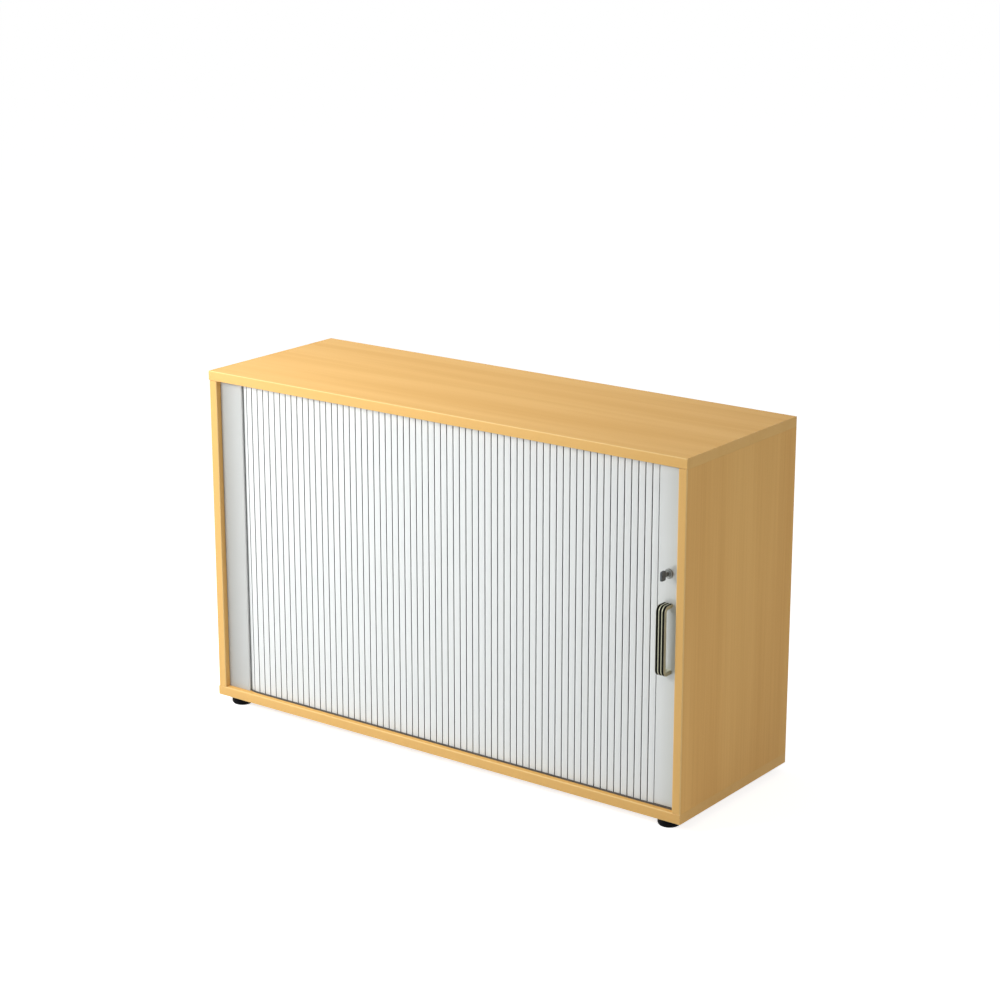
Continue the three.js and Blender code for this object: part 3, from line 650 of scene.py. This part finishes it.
def dress(piece, finish, body="root", nodes=()):
    """Gives a piece its finish and smooth shading, hangs it on its body, and hides the imported pieces
    it stands for.
    """
    piece.data.materials.clear()
    piece.data.materials.append(finish)
    piece.data.shade_smooth()
    piece.data.set_sharp_from_angle(angle=crease)
    weighted = piece.modifiers.new("even shading", "WEIGHTED_NORMAL")
    weighted.keep_sharp = True
    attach(piece, body)
    if nodes:
        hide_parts(*nodes)
    return piece


def keep(node, finish):
    """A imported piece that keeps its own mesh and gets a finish."""
    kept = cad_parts[node]
    kept.data.materials.clear()
    kept.data.materials.append(finish)


def centre_of(node):
    low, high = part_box(node)
    return (low + high) / 2


# %% [markdown]
# The curtain runs in two black channels, one let into the bottom panel and one into the top. They
# turn back at the left end, go through a bay and end behind the inner back. One function lays the
# stations of that route, and both the channels and the grooves in the panels are swept along it.
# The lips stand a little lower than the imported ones, which leaves a thin dark line along the
# curtain.

# %% The curtain's route
rail_low, rail_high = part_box("bottom_guide_rail")
top_rail_low, top_rail_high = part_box("top_guide_rail")
channel_half = 5.65 * mm
bend_radius = 65.75 * mm
back_run = 640 * mm
bend_steps = 20
front_line_y = rail_low.y + channel_half
rear_line_y = rail_high.y - channel_half
bend_x = rail_low.x + channel_half + bend_radius


def two_bends(start, end, centres, outs, radius, steps):
    """Places along a line with two quarter bends. outs are the outward ways of its straight parts."""
    yield start, outs[0]
    for centre, before, after in zip(centres, outs, outs[1:]):
        for step in range(steps + 1):
            angle = math.pi / 2 * step / steps
            out = math.cos(angle) * before + math.sin(angle) * after
            yield centre + radius * out, out
    yield end, outs[-1]


def route(start_x, end_x):
    """Stations along the front, round both bends and along the back, with U pointing outwards."""
    start = Vector((start_x, front_line_y, 0))
    end = Vector((end_x, rear_line_y, 0))
    centre_ys = (front_line_y + bend_radius, rear_line_y - bend_radius)
    centres = [Vector((bend_x, y, 0)) for y in centre_ys]
    places = two_bends(start, end, centres, (-y_way, -x_way, y_way), bend_radius, bend_steps)
    return [(place, out, z_way) for place, out in places]


# %% Channels
channel_wall = 1.7 * mm
channel_floor = 2 * mm
channel_lip_round = 0.6 * mm
channel_lip_drop = 1.5 * mm


def channel(name, base_z, lip_z):
    """base_z is the channel's closed side, and lip_z its open one."""
    floor_z = base_z + math.copysign(channel_floor, lip_z - base_z)
    inner = channel_half - channel_wall
    right_half = [(channel_half, base_z), (channel_half, lip_z), (inner, lip_z), (inner, floor_z)]
    left_half = [(-u, z) for u, z in reversed(right_half)]
    radii = [0, channel_lip_round, channel_lip_round, 0] * 2
    outline = rounded(right_half + left_half, radii, steps=3)
    made = as_object(name, swept(outline, route(rail_high.x, bend_x + back_run)))
    return dress(made, rail_finish)


bottom_channel = channel("bottom_channel", rail_low.z, rail_high.z - channel_lip_drop)
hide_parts("bottom_guide_rail")
top_channel = channel("top_channel", top_rail_high.z, top_rail_low.z + channel_lip_drop)
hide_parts("top_guide_rail")
print("channels", round((rail_high.x - rail_low.x) / mm), "mm long")

# %% [markdown]
# A panel is a core under foil with bands glued round its edges. The front band is 3 mm thick and
# well rounded, which with the highlight painted on its rounding gives the bright line along the
# front of the top. The other bands are thin.
# Band and core are separate pieces with a hair line between them, as on the real panel.

# %% Boards
front_band = 3 * mm
front_round = 2.4 * mm
thin_band = 1 * mm
thin_round = 0.3 * mm
arris = 0.15 * mm
end_round = 0.5 * mm
band_sides = {"front": (1, -1), "rear": (1, 1), "left": (0, -1), "right": (0, 1)}


def band(name, low, high, axis, side, along, radius):
    """An edge band on one side of an axis. Its outer edges and its ends are rounded."""
    bm = block(low, high)
    outer = low[axis] if side < 0 else high[axis]
    middle = (low[along] + high[along]) / 2
    long_edges = []
    for edge in bm.edges:
        first, second = (vertex.co for vertex in edge.verts)
        on_face = abs(first[axis] - outer) + abs(second[axis] - outer) < arris
        if on_face and (first[along] - middle) * (second[along] - middle) < 0:
            long_edges.append(edge)
    soften(bm, long_edges, radius, steps=6)
    ends = []
    for edge in bm.edges:
        first, second = (vertex.co[along] for vertex in edge.verts)
        from_end = min(abs(first - low[along]), abs(first - high[along]))
        if max(abs(first - second), from_end) < arris:
            ends.append(edge)
    soften(bm, ends, end_round, steps=2)
    return as_object(name, bm)


def panel(node, along, bands, cutters=()):
    """A board in place of a node, with the grain and the bands along an axis, 0 for X and 2 for Z."""
    low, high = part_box(node)
    foil, edging = ((beech_lying, band_lying), (beech_standing, band_standing))[along // 2]
    for face in bands:
        axis, side = band_sides[face]
        thickness, radius = (front_band, front_round) if face == "front" else (thin_band, thin_round)
        band_low, band_high = low.copy(), high.copy()
        if side < 0:
            low[axis] += thickness
            band_high[axis] = low[axis]
        else:
            high[axis] -= thickness
            band_low[axis] = high[axis]
        run = 1 if axis == 0 else along
        made = band(f"{node}_{face}_band", band_low, band_high, axis, side, run, radius)
        dress(made, edging)
    core = as_object(f"{node}_core", block(low, high, arris, steps=1))
    if cutters:
        cut(core, *cutters)
    return dress(core, foil, nodes=[node])


# %% [markdown]
# The top and the bottom run the full width, and the sides stand between them. Each of the two is
# cut for its channel, and the bottom also for the four sockets that the feet screw into.

# %% Top and bottom
cut_over = 5 * mm
groove_room = 0.3 * mm
socket_hole_radius = 6.3 * mm
bottom_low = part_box("bottom_panel")[0]
socket_names = [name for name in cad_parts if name.startswith("foot_socket")]
all_round = ("front", "rear", "left", "right")


def groove(near_z, far_z):
    half = channel_half + groove_room
    outline = corners(-half, half, min(near_z, far_z), max(near_z, far_z))
    return swept(outline, route(rail_high.x + groove_room, bend_x + back_run + groove_room))


def socket_hole(node):
    centre = centre_of(node)
    centre.z = bottom_low.z
    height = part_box(node)[1].z - bottom_low.z + groove_room
    return rod(socket_hole_radius, -cut_over, height, centre, z_way)


bottom_cutters = [groove(rail_low.z, rail_high.z + cut_over)]
bottom_cutters += [socket_hole(name) for name in socket_names]
top = panel("top_panel", 0, all_round, [groove(top_rail_high.z, top_rail_low.z - cut_over)])
bottom = panel("bottom_panel", 0, all_round, bottom_cutters)
print("top", len(top.data.polygons), "faces, bottom", len(bottom.data.polygons))

# %% [markdown]
# The right side has two rows of holes for the shelf pins, a recess for the keeper plate and the
# slot that the bolt enters. The partition at the left end of the shelf has the same two rows.

# %% Sides and partition
pin_hole_radius = 2.8 * mm
pin_hole_depth = 7.3 * mm
pin_hole_step = 32 * mm
holes_each_way = 2
bolt_slot_room = 1.2 * mm
bolt_slot_depth = 9 * mm
keeper_low, keeper_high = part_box("lock_keeper")
bolt_low, bolt_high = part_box("lock_bolt")


def pin_holes(wall_x, inward):
    cutters = []
    for row in ("front", "rear"):
        centre = centre_of(f"shelf_pin_left_{row}")
        for step in range(-holes_each_way, holes_each_way + 1):
            start = Vector((wall_x, centre.y, centre.z + step * pin_hole_step))
            hole = rod(pin_hole_radius, -pin_hole_depth, cut_over, start, x_way * inward, steps=24)
            cutters.append(hole)
    return cutters


def bolt_tunnel(start_x, end_x, room):
    """A hole along the bolt, with room above, below, before and behind it."""
    around = Vector((0, room, room))
    low, high = bolt_low - around, bolt_high + around
    low.x, high.x = start_x, end_x
    return block(low, high)


partition_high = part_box("bay_partition")[1]
side_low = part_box("right_side_panel")[0]
room = Vector((groove_room, groove_room, groove_room))
recess_low, recess_high = keeper_low - room, keeper_high + room
recess_low.x = side_low.x - cut_over
bolt_slot = (side_low.x - cut_over, side_low.x + bolt_slot_depth, bolt_slot_room)
side_cutters = pin_holes(side_low.x, -1) + [block(recess_low, recess_high), bolt_tunnel(*bolt_slot)]
panel("left_side_panel", 2, ("front", "rear"))
panel("right_side_panel", 2, ("front", "rear"), side_cutters)
panel("bay_partition", 2, (), pin_holes(partition_high.x, 1))
panel("back_panel", 2, ())
panel("inner_back_panel", 2, ())
panel("shelf", 0, ("front",))
print("panels done")

# %% [markdown]
# The shelf lies on four zinc pins. Each is a thin peg in its hole with a thicker round head. The
# keeper is a thin steel plate, let in flush with the side, with a slot for the bolt.

# %% Shelf pins and keeper
pin_edge = 0.4 * mm
pin_radius = 2.5 * mm
pin_head_radius = 3.6 * mm
pin_peg = 7 * mm
keeper_round = 0.3 * mm


def shelf_pin(node, wall_x, inward):
    low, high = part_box(node)
    centre = centre_of(node)
    reach = high.x - low.x - pin_peg
    profile = [(0, -pin_peg), (pin_radius - pin_edge, -pin_peg), (pin_radius, pin_edge - pin_peg)]
    profile += [(pin_radius, 0), (pin_head_radius, 0), (pin_head_radius, reach - pin_edge)]
    profile += [(pin_head_radius - pin_edge, reach), (0, reach)]
    start = Vector((wall_x, centre.y, centre.z))
    made = as_object(f"pin_{node[10:]}", turned(profile, start, x_way * inward, steps=32))
    dress(made, zinc_finish, nodes=[node])


for row in ("front", "rear"):
    shelf_pin(f"shelf_pin_left_{row}", partition_high.x, 1)
    shelf_pin(f"shelf_pin_right_{row}", side_low.x, -1)
plate = as_object("keeper_plate", block(keeper_low, keeper_high, keeper_round, steps=2))
cut(plate, bolt_tunnel(*bolt_slot))
dress(plate, zinc_finish, nodes=["lock_keeper"])
print("pins and keeper done")

# %% [markdown]
# The curtain's slats hook into each other. In section each has a gently crowned face, two rounded
# shoulders, and a thin web behind that meets the next slat at a hair line in the groove. The
# section is one outline for a whole row of slats, drawn upwards. The straight part of the curtain
# is made of rigid sections that each slide at their own rate, and the tail that is already round
# the bend is one more row whose slats follow the route as chords.

# %% A row of slats
slat_low, slat_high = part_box("curtain_section_01")
slats_per_section = 3
slat_pitch = (slat_high.x - slat_low.x + groove_room) / slats_per_section
slat_half = (slat_high.y - slat_low.y) / 2
slat_line_y = (slat_high.y + slat_low.y) / 2
groove_half = 1 * mm
groove_floor = -1.75 * mm
shoulder_round = 1.1 * mm
shoulder_steps = 5
crown = 0.3 * mm
crown_steps = 8
foot_round = 0.4 * mm
hook_gap = 0.15 * mm
hook_depth = 0.5 * mm


def slat_face(reach):
    """One slat's outer side from hinge to hinge: places along it and heights above its middle."""
    side_height = slat_half - crown
    points = [(hook_gap, groove_floor - hook_depth), (hook_gap, groove_floor)]
    points += [(groove_half - foot_round, groove_floor), (groove_half, groove_floor + foot_round)]
    for step in range(shoulder_steps + 1):
        angle = math.pi / 2 * step / shoulder_steps
        along = groove_half + shoulder_round * (1 - math.cos(angle))
        points.append((along, side_height - shoulder_round * (1 - math.sin(angle))))
    start = groove_half + shoulder_round
    for step in range(1, crown_steps // 2 + 1):
        share = step / crown_steps
        rise = crown * (1 - (2 * share - 1) ** 2)
        points.append((start + share * (reach - 2 * start), side_height + rise))
    mirrored = [(reach - along, height) for along, height in reversed(points[:-1])]
    return points + mirrored


def slat_row(name, hinges, low, high):
    """A row of slats that stand between the hinge points, with their faces to the right of the way."""
    outside, inside, shares = [], [], []
    ways = [(after - before).normalized() for before, after in zip(hinges, hinges[1:])]
    for index, way in enumerate(ways):
        out = Vector((-way.y, way.x))
        reach = (hinges[index + 1] - hinges[index]).length
        for along, height in slat_face(reach):
            outside.append(hinges[index] + along * way + height * out)
            shares.append(along / reach)
        if index == 0:
            inside.append(hinges[0] + hook_gap * way - slat_half * out)
        if index == len(ways) - 1:
            inside.append(hinges[-1] - hook_gap * way - slat_half * out)
        else:
            following = ways[index + 1]
            mitre = Vector((-way.y - following.y, way.x + following.x)).normalized()
            inside.append(hinges[index + 1] - mitre * slat_half / mitre.dot(out))
    outline = outside + inside[::-1]
    shares += [middle_share] * len(inside)
    made = as_object(name, upright(outline, low, high))
    across_shares = made.data.attributes.new("across", "FLOAT", "POINT")
    across_shares.data.foreach_set("value", shares * 2)
    return made


# %% Sections and tail
tail_bay_run = 60 * mm
sections = sorted(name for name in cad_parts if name.startswith("curtain_section"))
for name in sections:
    low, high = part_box(name)
    first_x = high.x + groove_room / 2
    hinge_counts = range(slats_per_section + 1)
    hinges = [Vector((first_x - count * slat_pitch, slat_line_y)) for count in hinge_counts]
    number = name[-2:]
    slats = slat_row(f"slats_{number}", hinges, low.z, high.z)
    dress(slats, slat_finish, f"section_{number}", [name])
tail_start_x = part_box(sections[-1])[0].x - groove_room / 2
straight_run = tail_start_x - bend_x
bend_run = math.pi / 2 * bend_radius


def along_route(distance):
    """The place on the route at a distance from the tail's start."""
    if distance <= straight_run:
        return Vector((tail_start_x - distance, front_line_y))
    angle = min((distance - straight_run) / bend_radius, math.pi / 2)
    past = max(distance - straight_run - bend_run, 0)
    centre = Vector((bend_x, front_line_y + bend_radius))
    return centre - bend_radius * Vector((math.sin(angle), math.cos(angle))) + Vector((0, past))


tail_slats = math.ceil((straight_run + bend_run + tail_bay_run) / slat_pitch)
tail_hinges = [along_route(index * slat_pitch) for index in range(tail_slats + 1)]
tail = slat_row("slats_tail", tail_hinges, slat_low.z, slat_high.z)
dress(tail, slat_finish, nodes=["curtain_tail"])
print(len(sections), "sections of", round(slat_pitch / mm, 2), "mm slats, tail", tail_slats)

# %% [markdown]
# The cover strip hides the bend. It is a thin drawn angle: a flat face in front of the curtain and
# a flange that lies on the left side. Its free edge is turned back towards the curtain, so what
# shows beside the face from the right is a narrow shaded return and no deep gap.

# %% Cover strip
strip_wall = 1.2 * mm
strip_return = 4.6 * mm
strip_outer_bend = 1.1 * mm
strip_bend = 0.8 * mm
strip_edge = 0.3 * mm


def strip_outline(left, right, front, rear):
    inner_left, inner_right, inner_front = left + strip_wall, right - strip_wall, front + strip_wall
    outline = [(left, front), (right, front), (right, front + strip_return)]
    outline += [(inner_right, front + strip_return), (inner_right, inner_front)]
    outline += [(inner_left, inner_front), (inner_left, rear), (left, rear)]
    return rounded(outline, [strip_outer_bend, strip_bend] + [strip_edge] * 6)


outline = strip_outline(strip_low.x, strip_high.x, strip_low.y, strip_high.y)
strip = as_object("cover_strip", upright(outline, strip_low.z, strip_high.z))
dress(strip, strip_finish, nodes=["left_cover_strip"])
print("cover strip", round((strip_high.x - strip_low.x) / mm), "mm wide")

# %% [markdown]
# The lead profile is a drawn aluminium channel, open at the back. Its left edge is stepped back
# like a slat's, so the line beside the first slat is as wide as the lines between the slats. The
# lock's barrel, the handle's two screws and the bolt pass through it. Its ends reach as close to
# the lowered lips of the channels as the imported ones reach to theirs.

# %% Lead profile
lead_wall = 2.5 * mm
lead_lip = 10 * mm
lead_round = 1.3 * mm
lead_edge = 0.4 * mm
barrel_radius = 8.5 * mm
screw_radius = 2 * mm
bolt_room = 0.4 * mm
screw_names = ("handle_screw_lower", "handle_screw_upper")
step_depth = slat_line_y - groove_floor - lead_low.y
plug_low, plug_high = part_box("lock_plug")
lock_at = centre_of("lock_plug")
lock_at.y = lead_low.y


def lead_outline(left, right, front, rear):
    inner_left, inner_right = left + lead_wall, right - lead_wall
    inner_front, inner_rear = front + lead_wall, rear - lead_wall
    outline = [(left + groove_half, front), (right, front), (right, rear)]
    outline += [(right - lead_lip, rear), (right - lead_lip, inner_rear), (inner_right, inner_rear)]
    outline += [(inner_right, inner_front), (inner_left + lead_wall, inner_front)]
    outline += [(inner_left, inner_front + lead_wall), (inner_left, inner_rear)]
    outline += [(left + lead_lip, inner_rear), (left + lead_lip, rear), (left, rear)]
    outline += [(left, front + step_depth), (left + groove_half, front + step_depth)]
    radii = [shoulder_round, lead_round, lead_round] + [lead_edge] * 9 + [lead_round, lead_edge, 0]
    return rounded(outline, radii)


def screw_holes(start, end):
    """Holes for the two screws, between depths counted from the lead's face."""
    holes = []
    for name in screw_names:
        centre = centre_of(name)
        centre.y = lead_low.y
        holes.append(rod(screw_radius + groove_room, start, end, centre, y_way))
    return holes


outline = lead_outline(lead_low.x, lead_high.x, lead_low.y, lead_high.y)
lead_ends = (lead_low.z - channel_lip_drop, lead_high.z + channel_lip_drop)
lead = as_object("lead_channel", upright(outline, *lead_ends))
through = (-cut_over, lead_wall + groove_room)
barrel_hole = rod(barrel_radius + groove_room, *through, lock_at, y_way)
bolt_hole = bolt_tunnel(lead_high.x - lead_wall - groove_room, lead_high.x + cut_over, bolt_room)
cut(lead, barrel_hole, *screw_holes(*through), bolt_hole)
dress(lead, lead_finish, "lead", ["lead_profile"])
print("lead profile", round((lead_high.x - lead_low.x) / mm), "mm wide")

# %% [markdown]
# The handle is a bow bent from a wide flat bar of champagne-coloured metal, with three black strips
# let into its outside. Bar and strips are sections swept along the same bent line, so the strips
# lie exactly in their grooves.

# %% Handle
bow_low, bow_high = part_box("handle_bow")
bow_thickness = 7.6 * mm
bow_bend = 12 * mm
bow_bend_steps = 14
bow_round = 1.2 * mm
bow_front_round = 0.2 * mm
bow_half = (bow_high.x - bow_low.x) / 2
bow_x = (bow_low.x + bow_high.x) / 2
inlay_half = 2.3 * mm
inlay_depth = 0.8 * mm
inlay_crown = 0.0625 * mm
inlay_corner = 0.4 * mm
inlay_names = [f"handle_inlay_{index}" for index in (1, 2, 3)]
inlay_places = [centre_of(name).x - bow_x for name in inlay_names]


def bow_stations():
    """Stations up the bow, from the lower root to the upper. The outline is x and depth."""
    start, end = (Vector((bow_x, bow_high.y, z)) for z in (bow_low.z, bow_high.z))
    centre_zs = (bow_low.z + bow_bend, bow_high.z - bow_bend)
    centres = [Vector((bow_x, bow_low.y + bow_bend, z)) for z in centre_zs]
    places = two_bends(start, end, centres, (-z_way, -y_way, z_way), bow_bend, bow_bend_steps)
    return [(place, x_way, -out) for place, out in places]


bow_outline = [(-bow_half, bow_thickness), (-bow_half, 0)]
bow_radii = [bow_round, bow_front_round]
half = inlay_half + groove_room
depth = inlay_depth + groove_room
for place in inlay_places:
    bow_outline += [(place - half, 0), (place - half, depth), (place + half, depth), (place + half, 0)]
    bow_radii += [bow_front_round, 0, 0, bow_front_round]
bow_outline += [(bow_half, 0), (bow_half, bow_thickness)]
bow_radii += [bow_front_round, bow_round]
bow = as_object("bow", swept(rounded(bow_outline, bow_radii, steps=4), bow_stations()))
cut(bow, *screw_holes(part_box(screw_names[0])[0].y - groove_room - lead_low.y, cut_over))
dress(bow, handle_finish, "lead", ["handle_bow"])
print("handle", round((bow_high.z - bow_low.z) / mm), "mm long")

# %% Black strips of the handle
for name, place in zip(inlay_names, inlay_places):
    left, right = place - inlay_half, place + inlay_half
    inner = inlay_depth + inlay_crown
    section = [(left, inner), (left, inlay_crown), (place, 0), (right, inlay_crown), (right, inner)]
    section = rounded(section, [0, inlay_corner, 0, inlay_corner, 0], steps=3)
    inlay = as_object(f"strip_{name[7:]}", swept(section, bow_stations()))
    dress(inlay, inlay_finish, "lead", [name])
print(len(inlay_names), "strips of", round(2 * inlay_half / mm, 1), "mm")

# %% [markdown]
# The lock is a cylinder lock: a nickel-plated housing with a proud ring, and a plug that turns in
# it. The ring and the barrel are one profile turned about the lock's axis. The case behind the
# lead is joined to them, and then the plug's bore and the bolt's run are cut.

# %% Lock housing
housing_low, housing_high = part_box("lock_housing")
ring_radius = 9.5 * mm
ring_round = 1.2 * mm
ring_dish = 0.5 * mm
ring_lip = 0.8 * mm
case_round = 0.4 * mm
plug_radius = 6 * mm
bore_radius = plug_radius + groove_room
bolt_left_room = 2 * mm
ring_proud = lead_low.y - housing_low.y
barrel_depth = housing_high.y - lead_low.y
ring_profile = rounded(
    [
        (bore_radius, -ring_proud + ring_dish),
        (ring_radius - 2 * ring_round, -ring_proud),
        (ring_radius, -ring_proud),
        (ring_radius, 0),
        (barrel_radius, 0),
        (barrel_radius, barrel_depth),
        (bore_radius, barrel_depth),
    ],
    [groove_room, ring_lip, ring_round, 0, 0, 0, 0],
    steps=4,
)
ring = as_object("lock_ring", turned(ring_profile, lock_at, y_way, steps=64))
case_low = Vector((housing_low.x, lead_low.y + lead_wall + groove_room, housing_low.z))
joined(ring, block(case_low, housing_high, case_round, steps=2))
bore = rod(bore_radius, -cut_over, bolt_low.y - lead_low.y, lock_at, y_way, steps=64)
cut(ring, bore, bolt_tunnel(bolt_low.x - bolt_left_room, housing_high.x + cut_over, bolt_room))
dress(ring, nickel_finish, "lead", ["lock_housing"])
print("lock ring", round(2 * ring_radius / mm), "mm across")

# %% [markdown]
# The plug is a rod with a broken edge, a keyway milled into its face and a crank pin at its rear
# end, off the axis, which pushes the bolt.

# %% Lock plug
blade_low, blade_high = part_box("key_blade")
blade_half = 0.8 * mm
blade_tall = (blade_high.z - blade_low.z) / 2
keyway_depth = 7 * mm
plug_edge = 0.4 * mm
crank_radius = 1.3 * mm
crank_throw = 4.4 * mm
crank_off = crank_throw * math.sqrt(0.5)
plug_face = plug_low.y - lead_low.y
plug_rear = bolt_low.y - bolt_room - groove_room - lead_low.y
plug_profile = [
    (0, plug_face),
    (plug_radius - plug_edge, plug_face),
    (plug_radius, plug_face + plug_edge),
    (plug_radius, plug_rear),
    (0, plug_rear),
]
plug = as_object("plug_body", turned(plug_profile, lock_at, y_way, steps=64))
crank_at = lock_at + Vector((-crank_off, 0, crank_off))
crank_ends = (plug_face + keyway_depth + groove_room, plug_high.y - lead_low.y)
joined(plug, rod(crank_radius, *crank_ends, crank_at, y_way, steps=24))
keyway_half = Vector((blade_half + groove_room, 0, blade_tall + groove_room))
keyway_low = lock_at + y_way * (plug_face - cut_over) - keyway_half
keyway_high = lock_at + y_way * (plug_face + keyway_depth) + keyway_half
cut(plug, block(keyway_low, keyway_high))
dress(plug, nickel_finish, "lock_plug", ["lock_plug"])
print("plug", round(2 * plug_radius / mm), "mm across")

# %% [markdown]
# The key has a flat nickel blade with two milled grooves on each side. Its outer end is round,
# with a pin through it that the bow folds on.

# %% Key blade
key_pin_radius = 1 * mm
milled = 0.3 * mm
milled_height = 1.5 * mm
milled_half = 0.6 * mm
blade_edge = 0.2 * mm
blade_end_steps = 16
blade_end_y = blade_low.y + blade_tall
key_pin_at = Vector((lock_at.x, blade_end_y, lock_at.z))
pin_reach = (blade_high.x - blade_low.x) / 2


def flat_edges(bm):
    """The edges round the two flat sides of a mesh drawn along X."""
    return [edge for edge in bm.edges if abs(edge.verts[0].co.x - edge.verts[1].co.x) < arris]


blade_outline = [(blade_high.y, -blade_tall), (blade_high.y, blade_tall)]
for step in range(blade_end_steps + 1):
    angle = math.pi * step / blade_end_steps
    blade_outline.append((blade_end_y - blade_tall * math.sin(angle), blade_tall * math.cos(angle)))
blade_bm = sideways(blade_outline, lock_at.x - blade_half, lock_at.x + blade_half)
soften(blade_bm, flat_edges(blade_bm), blade_edge, steps=2)
bmesh.ops.translate(blade_bm, verts=blade_bm.verts, vec=z_way * lock_at.z)
blade = as_object("key_shank", blade_bm)
joined(blade, rod(key_pin_radius, -pin_reach, pin_reach, key_pin_at, x_way, steps=24))
milling = []
for side in (-1, 1):
    for height in (-milled_height, milled_height):
        faces = sorted((side * (blade_half - milled), side * (blade_half + cut_over)))
        low = lock_at + Vector((faces[0], 0, height - milled_half))
        high = lock_at + Vector((faces[1], 0, height + milled_half))
        low.y = blade_end_y + 2 * key_pin_radius
        high.y = blade_high.y + cut_over
        milling.append(block(low, high))
cut(blade, *milling)
dress(blade, nickel_finish, "key_blade", ["key_blade"])
print("key blade", round(2 * blade_tall / mm, 1), "mm tall")

# %% [markdown]
# The key's bow is moulded in grey plastic. Its corners and rims are rounded, a slot lets it fold
# over the blade's end, and a small hole near its outer edge takes a key ring.

# %% Key bow
grip_low, grip_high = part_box("key_bow")
grip_corner = 3.5 * mm
grip_round = 0.8 * mm
grip_slot_room = 0.6 * mm
ring_hole_radius = 1.5 * mm
ring_hole_inset = 2.9 * mm
grip_outline = corners(grip_low.y, grip_high.y, grip_low.z, grip_high.z)
grip_bm = sideways(rounded(grip_outline, [grip_corner] * 4, steps=8), grip_low.x, grip_high.x)
soften(grip_bm, flat_edges(grip_bm), grip_round, steps=4)
grip = as_object("key_grip", grip_bm)
slot_half = x_way * (blade_half + groove_room)
slot_start = Vector((lock_at.x, blade_low.y - grip_slot_room, grip_low.z - cut_over)) - slot_half
slot_end = Vector((lock_at.x, grip_high.y + cut_over, grip_high.z + cut_over)) + slot_half
ring_hole_at = Vector((lock_at.x, grip_low.y + ring_hole_inset, lock_at.z))
ring_hole = rod(ring_hole_radius, -cut_over, cut_over, ring_hole_at, x_way, steps=32)
bore_reach = pin_reach + groove_room
pin_bore = rod(key_pin_radius + groove_room, -bore_reach, bore_reach, key_pin_at, x_way, steps=24)
cut(grip, block(slot_start, slot_end), ring_hole, pin_bore)
dress(grip, key_finish, "key_bow", ["key_bow"])
print("key bow", round((grip_high.z - grip_low.z) / mm), "mm tall")

# %% [markdown]
# Each foot is a black moulded pad on a stud. Its sole is flat and its lower edge is well rounded.

# %% Feet
sole_radius = 18 * mm
foot_rise = 6 * mm
foot_top_edge = 1.5 * mm
stud_radius = 4 * mm
pad_gap = 1.9 * mm
foot_steps = 8


def foot_pad(name):
    low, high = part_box(name)
    radius = (high.x - low.x) / 2
    pad_top = bottom_low.z - pad_gap
    profile = [(0, 0), (sole_radius, 0)]
    for step in range(1, foot_steps + 1):
        angle = math.pi / 2 * step / foot_steps
        out = (radius - sole_radius) * math.sin(angle)
        profile.append((sole_radius + out, foot_rise * (1 - math.cos(angle))))
    profile += [(radius, pad_top - foot_top_edge), (radius - foot_top_edge, pad_top)]
    profile += [(stud_radius, pad_top), (stud_radius, high.z), (0, high.z)]
    centre = centre_of(name)
    centre.z = 0
    return as_object(f"pad_{name[5:]}", turned(profile, centre, z_way, steps=64))


standing = [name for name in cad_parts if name.startswith("foot_")]
feet = [name for name in standing if name not in socket_names]
for name in feet:
    dress(foot_pad(name), black_finish, name, [name])
print(len(feet), "feet")

# %% [markdown]
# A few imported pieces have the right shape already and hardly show: the feet's sockets, the
# handle's screws, the bolt and the lead's two guide shoes. They keep their mesh.

# %% Kept pieces
zinc_names = [*socket_names, *screw_names, "lock_bolt"]
shoe_names = ["guide_shoe_bottom", "guide_shoe_top"]
for name in zinc_names:
    keep(name, zinc_finish)
for name in shoe_names:
    keep(name, black_finish)
print("kept", len(zinc_names + shoe_names), "packed meshes")

# %% [markdown]
# The visual model's size is printed, over every shown piece but the floor. The visual model
# has to stay inside the imported model's box.

# %% Sizes
low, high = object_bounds()
print("visual model", [round(side / mm, 1) for side in high - low], "mm")
